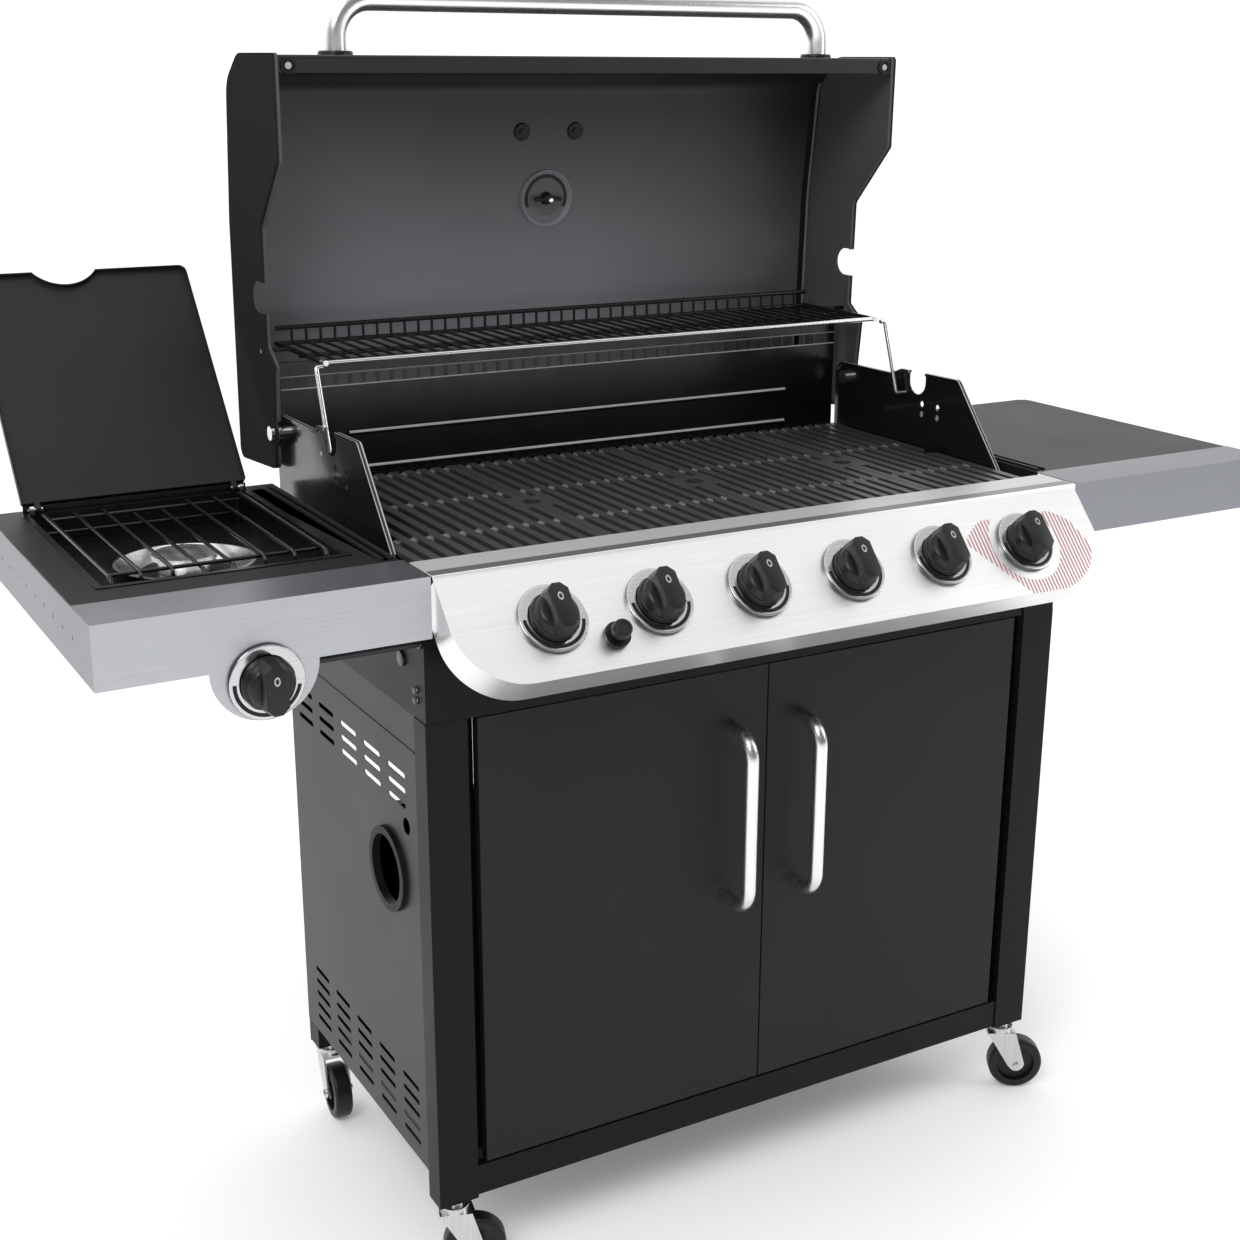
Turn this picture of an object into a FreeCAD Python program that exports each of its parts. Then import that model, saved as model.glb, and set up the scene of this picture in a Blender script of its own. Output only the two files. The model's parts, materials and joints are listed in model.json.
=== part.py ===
import FreeCAD, Part
import math
import os

from FreeCAD import Vector

# Six-burner gas barbecue on a closed cart, with a side burner, as separate sub-parts.
# Millimetres. +X is the cook's right, +Y is the back, +Z is up, and Z = 0 is the floor.
# The model is drawn with Y = 0 at the front face of the front legs, with both lids open and the
# doors shut, and is moved forward by ORIGIN_Y when it is written, to stand over its own middle.
ORIGIN_Y = 271.8

# Cart
CART_HALF = 446.0  # middle of the cart to the outer face of a front leg
CART_DEPTH = 442.0
LEG_WIDTH = 50.0
LEG_DEPTH = 32.0
LEG_WALL = 1.5
LEG_BOTTOM = 102.0
CART_TOP = 709.0
SHEET = 1.0
RAIL_HEIGHT = 39.0
RAIL_DEPTH = 20.0
RAIL_FRONT = 2.0
SHELF_FLOOR = 136.0  # top face of the bottom shelf
REAR_PANEL_TOP = 428.0
SIDE_PLATE_TOP = 814.0

# Doors
DOOR_OUTER = 383.0
DOOR_GAP = 1.0  # half the gap between the doors
DOOR_FRONT = 3.0
DOOR_THICK = 14.0
DOOR_BOTTOM = 146.0
DOOR_TOP = 705.0
DOOR_PIN_X = 375.0
DOOR_PIN_Y = 10.0
DOOR_PIN_R = 3.0
DOOR_STOP_Y = 23.5
DOOR_STOP_LAP = 3.0  # how far a stop reaches behind a door
HANDLE_X = 49.4
HANDLE_REACH = 43.0
HANDLE_FEET = (408.0, 632.0)
HANDLE_R = 8.7

# Casters
WHEEL_R = 37.5
WHEEL_WIDTH = 24.0
TRAIL = 23.0
STEM_R = 5.0
AXLE_R = 4.0
TRAIL_ANGLES = {"front_left": -20.0, "front_right": -30.0, "rear_left": -95.0, "rear_right": -75.0}

# Firebox
BOX_HALF = 431.0
BOX_FRONT = 44.0
BOX_BACK = 478.0
BOX_SHEET = 1.2
BOX_RIM = 866.0  # the grates rest at this height
BOX_SIDE = 2.0
BURNER_Z = 802.0
BURNER_R = 14.0
GRATE_SEAMS = (-428.0, -194.5, 39.0, 272.5, 426.0)
GRATE_THICK = 10.0
RIB_PITCH = 19.45
RIB_WIDTH = 11.0
SPIT_Y = 286.0
BAFFLE_TOP = 1030.0

# Control panel: its face leans forward from the top edge down
PANEL_HALF = 442.0
PANEL_TOP_Y = -25.0
PANEL_TOP_Z = 876.0
PANEL_LEAN = 42.0  # degrees from upright
PANEL_DROP = 131.0  # down the face
PANEL_CORNER = 75.0
PANEL_RETURN = 42.0
PANEL_SHEET = 1.2
LEDGE_Z = 881.2
LEDGE_BACK = 38.0
KNOB_PITCH = 130.5
KNOB_DROP = 63.5  # down the face to the knobs' centres
IGNITER_X = -261.0
IGNITER_DROP = 95.0
SIDE_KNOB_X = -626.0
SIDE_KNOB_Z = 798.0
SIDE_PLATE_R = 57.0

# Knobs, bezels and valves, along an axis that starts on the panel's face
BEZEL_R = 39.8
BEZEL_DEEP = 5.0
BEZEL_FLOOR = 1.5
RECESS_R = 29.2
SKIRT_R = 28.2
SKIRT_START = 5.6
SKIRT_END = 12.0
PUSH_ROOM = 4.5  # length of the stem's flat below the skirt, for the knob's push
GRIP_END = 36.0
GRIP_WIDTH = 27.0
STEM_END = 24.0
VALVE_STEM_R = 4.0
VALVE_FRONT = -8.0
VALVE_BACK = -50.0
NOZZLE_DEPTH = 40.0
RUNNING = 0.06  # radial clearance of a running fit

# Side shelves
SHELF_END = 794.0
SHELF_INNER = 445.0
SHELF_FRONT = -25.0
SHELF_BACK = 465.0
SHELF_TOP = 881.6
SHELF_BOTTOM = 814.0
STRIP_BACK = 49.0

# Side burner and its lid
POCKET_X = (-752.0, -492.0)
POCKET_Y = (100.0, 438.0)
POCKET_FLOOR = 846.0
SIDE_BURNER_Y = 240.0
SIDE_LID_X = (-756.0, -486.0)
SIDE_LID_HINGE = Vector(0, 441.0, 887.0)
SIDE_LID_LONG = 327.0
SIDE_LID_OPEN = 130.0  # degrees

# Main lid, drawn open; it shuts by a quarter turn forward about the hinge
LID_HINGE = Vector(0, 450.0, 948.0)
LID_INNER = 444.0
LID_END = 2.0
LID_RIM = 438.5
LID_SHEET = 1.2
LID_PIN_R = 5.0
HINGE_EAR_R = 15.0
LID_HANDLE_X = 348.5
LID_HANDLE_Y = 440.0
LID_HANDLE_Z = 1461.0
LID_HANDLE_R = 14.3
GAUGE_Z = 1211.0
GAUGE_LEAN = 6.8  # degrees that the lid's back leans at the gauge
BADGE_STUD_X = 40.5
BADGE_UP = 90.0
LID_SCREW = Vector(426.5, 400.0, 1385.0)

# Warming rack: with the lid and the firebox it makes a parallelogram
RACK_PIVOT = Vector(0, 484.0, 1045.0)
LEG_PIVOT = Vector(0, 320.0, 945.0)
RACK_FRONT = Vector(0, 354.0, 1042.0)
RACK_HALF = 420.0
RACK_BACK = 532.0
WIRE_R = 3.0
THIN_WIRE_R = 1.8

X_AXIS = Vector(1, 0, 0)
Y_AXIS = Vector(0, 1, 0)
Z_AXIS = Vector(0, 0, 1)
KNOB_XS = [KNOB_PITCH * (i - 2.5) for i in range(6)]


# ---------- shapes that many pieces share ----------

def block(x, y, z):
    """A box from its low and high X, Y and Z."""
    corner = Vector(x[0], y[0], z[0])
    return Part.makeBox(x[1] - x[0], y[1] - y[0], z[1] - z[0], corner)


def rod(start, end, radius):
    return Part.makeCylinder(radius, (end - start).Length, start, end - start)


def ring(start, end, outer, inner):
    return rod(start, end, outer).cut(rod(start, end, inner))


def mirrored(shape):
    """The same shape on the other side of the cart."""
    return shape.mirror(Vector(0, 0, 0), X_AXIS)


def both_sides(shape):
    return [shape, mirrored(shape)]


def joined(shapes):
    result = shapes[0]
    if len(shapes) > 1:
        result = result.fuse(shapes[1:])
    return result.removeSplitter()


def corner_arc(before, corner, after, radius):
    """Start, middle and end of the arc that rounds a corner."""
    back = (before - corner).normalize()
    ahead = (after - corner).normalize()
    half = back.getAngle(ahead) / 2
    reach = radius / math.tan(half)
    inward = (back + ahead).normalize()
    middle = corner + inward * (radius / math.sin(half) - radius)
    return corner + back * reach, middle, corner + ahead * reach


def rounded_face(corners, radii):
    """A flat face through the corners, each rounded by its own radius."""
    count = len(corners)
    arcs = []
    for i, corner in enumerate(corners):
        if radii[i]:
            arcs.append(corner_arc(corners[i - 1], corner, corners[(i + 1) % count], radii[i]))
        else:
            arcs.append((corner, None, corner))
    edges = []
    for i, (start, middle, end) in enumerate(arcs):
        if middle:
            edges.append(Part.Arc(start, middle, end).toShape())
        edges.append(Part.makeLine(end, arcs[(i + 1) % count][0]))
    return Part.Face(Part.Wire(edges))


def side_face(points, radii, x):
    """A face that lies across the cart, from (y, z) corners."""
    return rounded_face([Vector(x, y, z) for y, z in points], radii)


def bent_tube(points, bend, radius):
    """A round bar along straight runs joined by arcs."""
    edges = []
    last = points[0]
    for i in range(1, len(points) - 1):
        start, middle, end = corner_arc(points[i - 1], points[i], points[i + 1], bend)
        edges.append(Part.makeLine(last, start))
        edges.append(Part.Arc(start, middle, end).toShape())
        last = end
    edges.append(Part.makeLine(last, points[-1]))
    section = Part.Wire(Part.makeCircle(radius, points[0], points[1] - points[0]))
    return Part.Wire(edges).makePipeShell([section], True, False)


def tray(x, y, z, wall, open_side):
    """A box of sheet that is open on one side, given as the axis index and the end."""
    low = [x[0] + wall, y[0] + wall, z[0] + wall]
    high = [x[1] - wall, y[1] - wall, z[1] - wall]
    axis, end = open_side
    if end == 1:
        high[axis] += 2 * wall
    else:
        low[axis] -= 2 * wall
    hollow = block((low[0], high[0]), (low[1], high[1]), (low[2], high[2]))
    return block(x, y, z).cut(hollow)


def placed(shape, x, y, z, lean):
    """Stand a piece that was drawn on the flat on a face that leans, facing the front."""
    result = shape.copy()
    result.rotate(Vector(0, 0, 0), X_AXIS, 90 - lean)
    result.translate(Vector(x, y, z))
    return result


def on_panel(shape, x, drop):
    """Stand a piece on the control panel's face, so far down from its top edge."""
    lean = math.radians(PANEL_LEAN)
    y = PANEL_TOP_Y - drop * math.sin(lean)
    z = PANEL_TOP_Z - drop * math.cos(lean)
    return placed(shape, x, y, z, PANEL_LEAN)


def on_fascia(shape):
    """Stand a piece on the left shelf's upright front."""
    return placed(shape, SIDE_KNOB_X, SHELF_FRONT, SIDE_KNOB_Z, 0)


# ---------- cart ----------

def leg(y_front, outer_x):
    """A square tube with a foot plate and a socket for the caster's stem."""
    inner_x = outer_x - LEG_WIDTH
    y_back = y_front + LEG_DEPTH
    tube = block((inner_x, outer_x), (y_front, y_back), (LEG_BOTTOM, CART_TOP))
    tube = tube.cut(block((inner_x + LEG_WALL, outer_x - LEG_WALL),
                          (y_front + LEG_WALL, y_back - LEG_WALL),
                          (LEG_BOTTOM + 3, CART_TOP)))
    centre = Vector(CART_HALF - LEG_WIDTH / 2, y_front + LEG_DEPTH / 2, LEG_BOTTOM)
    socket_top = centre + Z_AXIS * 44
    tube = tube.fuse(rod(centre, socket_top, STEM_R + 3))
    return tube.cut(rod(centre - Z_AXIS, socket_top + Z_AXIS, STEM_R + RUNNING))


def cart_legs():
    """Four legs; the front two carry a thin stop behind the outer edge of each door."""
    rear_outer = CART_HALF - 2 * SHEET
    stop = block((DOOR_OUTER - DOOR_STOP_LAP, CART_HALF - LEG_WIDTH + LEG_WALL),
                 (DOOR_STOP_Y, DOOR_STOP_Y + LEG_WALL), (SHELF_FLOOR + 16, CART_TOP - 10))
    front = joined([leg(0, CART_HALF), stop])
    return both_sides(front) + both_sides(leg(CART_DEPTH - LEG_DEPTH, rear_outer))


def rail(y_front, half, z_low, z_high):
    """A channel across the cart, open at the back."""
    outer = block((-half, half), (y_front, y_front + RAIL_DEPTH), (z_low, z_high))
    inner = block((-half, half), (y_front + 1.5, y_front + RAIL_DEPTH), (z_low + 1.5, z_high - 1.5))
    return outer.cut(inner)


def upper_side_plate():
    """The plate above a side panel that carries the firebox, with a flange at the front."""
    outer = CART_HALF - SHEET
    z = (CART_TOP, SIDE_PLATE_TOP)
    plate = block((outer - SHEET, outer), (0, CART_DEPTH), z)
    flange = block((outer - LEG_WIDTH, outer), (0, SHEET), z)
    foot = block((outer - 14, outer), (LEG_DEPTH, CART_DEPTH - LEG_DEPTH), (CART_TOP, CART_TOP + SHEET))
    plate = joined([plate, flange, foot])
    for y, z, radius in ((60, 770, 6.5), (60, 763, 3.5), (24, 742, 3), (24, 730, 3), (300, 760, 3)):
        plate = plate.cut(rod(Vector(outer - 3, y, z), Vector(outer + 3, y, z), radius))
    return plate.cut(rod(Vector(outer - 3, 9, 800), Vector(outer + 3, 9, 800), 5.5))


def cart_rails():
    half = CART_HALF - LEG_WIDTH
    rear_half = half - 2 * SHEET
    back = CART_DEPTH - RAIL_DEPTH
    rails = [rail(RAIL_FRONT, half, SHELF_FLOOR + 8 - RAIL_HEIGHT, SHELF_FLOOR + 8)]
    rails.append(rail(RAIL_FRONT, half, CART_TOP - 2, CART_TOP + 36))
    rails.append(rail(back, rear_half, SHELF_FLOOR + 8 - RAIL_HEIGHT, SHELF_FLOOR + 8))
    rails.append(rail(back, rear_half, CART_TOP - 32, CART_TOP + 3))
    rails += both_sides(upper_side_plate())
    return rails


def tray_runners():
    """Two angles that the grease tray slides on."""
    y = (RAIL_FRONT + RAIL_DEPTH, CART_DEPTH)
    shelf = block((322, 352), y, (CART_TOP + 3, CART_TOP + 4))
    wall = block((351, 352), y, (CART_TOP + 4, CART_TOP + 29))
    return both_sides(joined([shelf, wall]))


def slot(y, z, length, height):
    """A round-ended slot through the left side panel."""
    x = (-CART_HALF - 2, -CART_HALF + 6)
    half = (length - height) / 2
    cut = block(x, (y - half, y + half), (z - height / 2, z + height / 2))
    ends = [rod(Vector(x[0], y + s * half, z), Vector(x[1], y + s * half, z), height / 2) for s in (-1, 1)]
    return joined([cut] + ends)


def vent_slots():
    """Two groups of slots: three rows near the top and five near the bottom."""
    slots = []
    for column in range(5):
        for row in range(3):
            slots.append(slot(90.5 + 74.4 * column, 626 - 18.3 * row, 50, 6.5))
        for row in range(5):
            slots.append(slot(79 + 74.4 * column, 232 - 18 * row, 48, 6.5))
    return slots


def side_panel():
    outer = -CART_HALF + SHEET
    y = (LEG_DEPTH, CART_DEPTH)
    skin = block((outer, outer + SHEET), y, (SHELF_FLOOR, CART_TOP))
    flange = block((outer, outer + 18), (LEG_DEPTH, CART_DEPTH - LEG_DEPTH), (SHELF_FLOOR, SHELF_FLOOR + SHEET))
    bead = block((outer - 0.9, outer), (y[0] + 4, y[1] - 4), (663, 665.4))
    return joined([skin, flange, bead]).cut(Part.makeCompound(vent_slots()))


def side_panel_left():
    panel = side_panel()
    for y, z, radius in ((119, 493, 46), (65, 566, 10)):
        panel = panel.cut(rod(Vector(-CART_HALF - 2, y, z), Vector(-CART_HALF + 4, y, z), radius))
    return [panel]


def side_panel_right():
    return [mirrored(side_panel())]


def hose_grommet():
    """A rubber ring in the left panel, with a lip outside and inside."""
    def at(x):
        return Vector(x, 119, 493)
    skin = -CART_HALF + SHEET
    lip = ring(at(skin - 6), at(skin), 51, 42)
    neck = ring(at(skin), at(skin + SHEET), 45.9, 42)
    inner_lip = ring(at(skin + SHEET), at(skin + 4), 48, 42)
    return [joined([lip, neck, inner_lip])]


def rear_panel():
    half = CART_HALF - 2 * SHEET
    skin = block((-half, half), (CART_DEPTH, CART_DEPTH + SHEET), (100, REAR_PANEL_TOP))
    hem = block((-half + LEG_WIDTH + 1, half - LEG_WIDTH - 1), (CART_DEPTH - 14, CART_DEPTH),
                (REAR_PANEL_TOP - SHEET, REAR_PANEL_TOP))
    return [joined([skin, hem])]


def bottom_shelf():
    z = (SHELF_FLOOR - 22, SHELF_FLOOR)
    rail_back = RAIL_FRONT + RAIL_DEPTH
    wide = tray((-413, 413), (LEG_DEPTH + 1, CART_DEPTH - LEG_DEPTH - 1), z, 1.2, (2, 0))
    tongue = block((-390, 390), (rail_back, CART_DEPTH - RAIL_DEPTH), (SHELF_FLOOR - 1.2, SHELF_FLOOR))
    return [joined([wide, tongue])]


# ---------- doors ----------

def door():
    """The right door: a folded pan with a hinge lug in its top and bottom corners."""
    back = DOOR_FRONT + DOOR_THICK
    pan = tray((DOOR_GAP, DOOR_OUTER), (DOOR_FRONT, back), (DOOR_BOTTOM, DOOR_TOP), SHEET, (1, 1))
    pin = Vector(DOOR_PIN_X, DOOR_PIN_Y, 0)
    for z in (DOOR_BOTTOM + SHEET, DOOR_TOP - SHEET - 5):
        lug = block((DOOR_OUTER - 15, DOOR_OUTER - SHEET), (DOOR_FRONT + SHEET, back - 1), (z, z + 5))
        pan = pan.fuse(lug)
    bore = rod(pin + Z_AXIS * 100, pin + Z_AXIS * 800, DOOR_PIN_R + RUNNING)
    return pan.cut(bore).removeSplitter()


def door_handle():
    y = DOOR_FRONT - HANDLE_REACH
    low, high = HANDLE_FEET
    points = [Vector(HANDLE_X, DOOR_FRONT, low), Vector(HANDLE_X, y, low),
              Vector(HANDLE_X, y, high), Vector(HANDLE_X, DOOR_FRONT, high)]
    return bent_tube(points, 30, HANDLE_R)


# ---------- casters ----------

def caster_fork():
    """Fork with its stem at the origin and its wheel trailing along +X."""
    axle = Vector(TRAIL, 0, WHEEL_R)
    cheek_outline = rounded_face(
        [Vector(-19, 0, 88), Vector(20, 0, 88), Vector(TRAIL + 12, 0, WHEEL_R), Vector(TRAIL, 0, WHEEL_R - 13),
         Vector(TRAIL - 12, 0, WHEEL_R)], [0, 0, 9, 10, 9])
    inner = WHEEL_WIDTH / 2 + 2.3
    cheek = cheek_outline.extrude(Y_AXIS * 2.5)
    cheeks = [cheek.translated(Y_AXIS * inner), cheek.translated(Y_AXIS * (-inner - 2.5))]
    crown = block((-19, 20), (-inner - 2.5, inner + 2.5), (84, 88))
    race = rod(Z_AXIS * 88, Z_AXIS * 95, 17)
    cap = rod(Z_AXIS * 95, Z_AXIS * (LEG_BOTTOM - 0.5), 12)
    stem = rod(Z_AXIS * 95, Z_AXIS * (LEG_BOTTOM + 38), STEM_R)
    pin = rod(axle - Y_AXIS * (inner + 6), axle + Y_AXIS * (inner + 6), AXLE_R)
    return joined(cheeks + [crown, race, cap, stem, pin])


def caster_wheel():
    """A moulded wheel: rounded tread, thin web and a hub."""
    half = WHEEL_WIDTH / 2
    tread = Part.makeCylinder(WHEEL_R, WHEEL_WIDTH, Vector(0, -half, 0), Y_AXIS)
    tread = tread.makeFillet(5, [e for e in tread.Edges if e.Closed])
    for side in (-1, 1):
        dish = ring(Vector(0, side * 5, 0), Vector(0, side * (half + 1), 0), 26, 11)
        tread = tread.cut(dish)
    tread = tread.cut(rod(Vector(0, -half - 1, 0), Vector(0, half + 1, 0), AXLE_R + RUNNING))
    return tread.translated(Vector(TRAIL, 0, WHEEL_R))


def caster_place(corner):
    x = CART_HALF - LEG_WIDTH / 2
    y = LEG_DEPTH / 2
    return Vector(x if "right" in corner else -x, y if "front" in corner else CART_DEPTH - y, 0)


def at_corner(shape, corner):
    result = shape.copy()
    result.rotate(Vector(0, 0, 0), Z_AXIS, TRAIL_ANGLES[corner])
    result.translate(caster_place(corner))
    return result


# ---------- firebox ----------

def firebox_tub():
    """An open box whose floor falls to a slot above the grease tray."""
    outline = [(BOX_FRONT, BOX_RIM), (BOX_FRONT, 765), (236, 741), (288, 741), (BOX_BACK, 765), (BOX_BACK, BOX_RIM)]
    outer = side_face(outline, [0] * 6, -BOX_HALF).extrude(X_AXIS * 2 * BOX_HALF)
    t = BOX_SHEET
    inner_outline = [(BOX_FRONT + t, BOX_RIM + 1), (BOX_FRONT + t, 765 + t), (236, 741 + t), (288, 741 + t),
                     (BOX_BACK - t, 765 + t), (BOX_BACK - t, BOX_RIM + 1)]
    inner = side_face(inner_outline, [0] * 6, -BOX_HALF + t).extrude(X_AXIS * 2 * (BOX_HALF - t))
    rim = block((-BOX_HALF, BOX_HALF), (BOX_FRONT, BOX_BACK), (BOX_RIM - t, BOX_RIM))
    rim = rim.cut(block((-BOX_HALF + 14, BOX_HALF - 14), (BOX_FRONT + 14, BOX_BACK - 14), (0, 999)))
    tub = outer.cut(inner).fuse(rim)
    tub = tub.cut(block((-310, 310), (242, 282), (700, 760)))
    for x in KNOB_XS:
        tub = tub.cut(rod(Vector(x, BOX_FRONT - 2, BURNER_Z), Vector(x, BOX_FRONT + 4, BURNER_Z), BURNER_R + 0.5))
    return [tub.removeSplitter()]


def firebox_side():
    """The right firebox side: sheet with a rolled rim, a spit notch and mounting holes."""
    outline = [(BOX_FRONT, 762), (BOX_FRONT, 869), (104, 869), (198, 981), (322, 979), (342, 970), (464, 969),
               (BOX_BACK, 955), (BOX_BACK, 762)]
    face = side_face(outline, [0, 6, 8, 10, 6, 6, 10, 10, 0], BOX_HALF)
    inner_face = face.makeOffset2D(-4)
    sheet = face.extrude(X_AXIS * BOX_SIDE)
    rim = face.cut(inner_face).extrude(X_AXIS * 6).translated(X_AXIS * -2)
    rim = rim.cut(block((0, 999), (0, 999), (0, 872)))
    rim = rim.cut(block((0, 999), (BOX_BACK - 6, 999), (0, 999)))
    side = sheet.fuse(rim)
    low = BOX_HALF - 5
    high = BOX_HALF + 9
    bottom = Vector(0, SPIT_Y, 966)
    notch = rod(bottom + X_AXIS * low, bottom + X_AXIS * high, 18)
    notch = notch.fuse(block((low, high), (SPIT_Y - 18, SPIT_Y + 18), (966, 999)))
    side = side.cut(notch)
    for y, z, radius in ((274, 936, 4.2), (274, 922, 4.2), (240, 936, 4.2), (240, 922, 4.2),
                         (LEG_PIVOT.y, LEG_PIVOT.z, WIRE_R + RUNNING), (LID_HINGE.y, LID_HINGE.z, LID_PIN_R)):
        side = side.cut(rod(Vector(low, y, z), Vector(high, y, z), radius))
    return side.removeSplitter()


def firebox_rear_baffle():
    """The rear heat shield: two pressed beads and a band of vent slots below its top edge."""
    half = BOX_HALF - 6
    y = BOX_BACK
    plate = block((-half, half), (y, y + BOX_SHEET), (BOX_RIM, BAFFLE_TOP))
    hem = block((-half, half), (y - 5, y), (BAFFLE_TOP - BOX_SHEET, BAFFLE_TOP))
    beads = []
    for z in (887, 933):
        bead = rod(Vector(-338, y, z), Vector(338, y, z), 4)
        beads.append(bead.cut(block((-400, 400), (y, y + 10), (z - 5, z + 5))))
    plate = joined([plate, hem] + beads)
    slots = [block((x - 7, x + 7), (y - 2, y + 4), (996, 1010)) for x in range(-399, 400, 19)]
    return [plate.cut(Part.makeCompound(slots))]


def main_burners():
    """Closed steel tubes from front to back, each with a tab that rests on the rear wall."""
    burners = []
    for x in KNOB_XS:
        front = Vector(x, BOX_FRONT - 22, BURNER_Z)
        back = Vector(x, 448, BURNER_Z)
        tube = rod(front, back, BURNER_R).cut(rod(front, back - Y_AXIS * 2, BURNER_R - 1.2))
        tab = block((x - 8, x + 8), (446, BOX_BACK - BOX_SHEET), (BURNER_Z - 1.5, BURNER_Z + 1.5))
        ports = []
        for i in range(14):
            y = 80 + 26 * i
            ports.append(rod(Vector(x - 20, y, BURNER_Z + 5), Vector(x + 20, y, BURNER_Z + 5), 1.5))
        burners.append(joined([tube, tab]).cut(Part.makeCompound(ports)))
    return burners


def heat_tents():
    """A folded roof of sheet over each burner."""
    tents = []
    for x in KNOB_XS:
        top = 850
        outer = [Vector(x - 46, 0, top - 26), Vector(x, 0, top), Vector(x + 46, 0, top - 26),
                 Vector(x + 45, 0, top - 27), Vector(x, 0, top - 1.4), Vector(x - 45, 0, top - 27)]
        face = rounded_face(outer, [0] * 6).translated(Y_AXIS * (BOX_FRONT + BOX_SHEET))
        tents.append(face.extrude(Y_AXIS * (BOX_BACK - BOX_FRONT - 2 * BOX_SHEET)))
    return tents


def cooking_grate(x_low, x_high):
    """A cast grate: wide ribs from front to back over three cross rails, and plates at its seams."""
    y_low = BOX_FRONT + 3
    y_high = BOX_BACK - 3
    top = BOX_RIM + GRATE_THICK
    count = round((x_high - x_low) / RIB_PITCH)
    pitch = (x_high - x_low - RIB_WIDTH - 1) / (count - 1)
    pieces = []
    for i in range(count):
        x = x_low + 0.5 + pitch * i
        pieces.append(block((x, x + RIB_WIDTH), (y_low, y_high), (BOX_RIM, top)))
    for y in (y_low, 146, 300, y_high - 12):
        pieces.append(block((x_low + 1, x_high - 1), (y, y + 12), (BOX_RIM, top - 3)))
    for x in (x_low, x_high):
        if abs(x) > 400:
            continue
        low = max(x_low + 0.5, x - 33)
        high = min(x_high - 0.5, x + 33)
        pieces.append(block((low, high), (214, 268), (BOX_RIM + 2, top)))
    grate = joined(pieces)
    for x in (x_low, x_high):
        grate = grate.cut(rod(Vector(x, 241, 0), Vector(x, 241, 999), 12))
    return grate


def cooking_grates():
    return [cooking_grate(low, high) for low, high in zip(GRATE_SEAMS, GRATE_SEAMS[1:])]


def grease_tray():
    """A shallow pan under the firebox slot, with a finger lip at the back."""
    pan = tray((-330, 330), (60, 449), (713.2, 730), SHEET, (2, 1))
    lip = block((-90, 90), (449, 474), (728, 730))
    return [joined([pan, lip])]


# ---------- gas train ----------

def valve_point(x):
    """Where a main valve's outlet leaves its body."""
    lean = math.radians(PANEL_LEAN)
    y = PANEL_TOP_Y - KNOB_DROP * math.sin(lean) + NOZZLE_DEPTH * math.cos(lean)
    z = PANEL_TOP_Z - KNOB_DROP * math.cos(lean) - NOZZLE_DEPTH * math.sin(lean)
    return Vector(x, y, z)


def valve_shell():
    """A valve body on the flat, with a bore for its stem."""
    body = rod(Z_AXIS * VALVE_BACK, Z_AXIS * (VALVE_FRONT - 6), 13)
    neck = rod(Z_AXIS * (VALVE_FRONT - 6), Z_AXIS * VALVE_FRONT, 9)
    return joined([body, neck]).cut(rod(Z_AXIS * (VALVE_FRONT - 9), Z_AXIS * 0, VALVE_STEM_R + RUNNING))


def gas_manifold():
    """The supply pipe with its inlet, the side burner's feed and a valve for every burner."""
    pieces = []
    pipe_z = 766.0
    y = valve_point(0).y
    pipe = rod(Vector(-400, y, pipe_z), Vector(400, y, pipe_z), 10)
    pipe = pipe.fuse(rod(Vector(300, y, pipe_z), Vector(300, y, pipe_z - 28), 8))
    stubs = []
    for x in KNOB_XS:
        outlet = valve_point(x)
        stub = rod(Vector(x, y, pipe_z + 2), outlet, 6)
        nozzle = rod(outlet, Vector(x, BOX_FRONT - 14, outlet.z), 5)
        stubs.append(stub)
        pieces.append(joined([on_panel(valve_shell(), x, KNOB_DROP), stub, nozzle]))
    bend_y = 9.0
    feed = bent_tube([Vector(-380, y, pipe_z), Vector(-380, bend_y, pipe_z), Vector(-380, bend_y, 800),
                      Vector(-614, bend_y, 800)], 12, 4.5)
    side_valve = on_fascia(valve_shell())
    jet = rod(Vector(SIDE_KNOB_X, 20, SIDE_KNOB_Z), Vector(SIDE_KNOB_X, 36, SIDE_KNOB_Z), 4)
    side_valve = side_valve.fuse(jet)
    pipe = pipe.cut(Part.makeCompound(stubs))
    pieces.append(side_valve)
    pieces.append(feed.cut(side_valve).cut(pipe))
    pieces.append(pipe)
    return pieces


def valve_stem():
    """A round stem with a flat for the knob."""
    stem = rod(Z_AXIS * (VALVE_FRONT - 8), Z_AXIS * STEM_END, VALVE_STEM_R)
    return stem.cut(block((-9, 9), (-9, -2.4), (SKIRT_START - PUSH_ROOM, STEM_END + 1)))


def knob():
    """A round skirt with a bar grip that points to the knob's setting."""
    skirt = Part.makeCone(SKIRT_R, SKIRT_R - 2, SKIRT_END - SKIRT_START, Z_AXIS * SKIRT_START)
    half = GRIP_WIDTH / 2
    corners = [Vector(x, y, SKIRT_END - 1) for x, y in ((-half, -29), (half, -29), (half, 29), (-half, 29))]
    bar = rounded_face(corners, [6] * 4).extrude(Z_AXIS * (GRIP_END - SKIRT_END + 1))
    dome = Part.makeCone(SKIRT_R + 1, SKIRT_R - 3.5, GRIP_END, Vector(0, 0, 0))
    body = joined([skirt, bar.common(dome)])
    bore = rod(Z_AXIS * 0, Z_AXIS * (STEM_END + 5), VALVE_STEM_R + RUNNING)
    bore = bore.cut(block((-9, 9), (-9, -2.4 - RUNNING), (0, STEM_END + 6)))
    return body.cut(bore)


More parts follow.
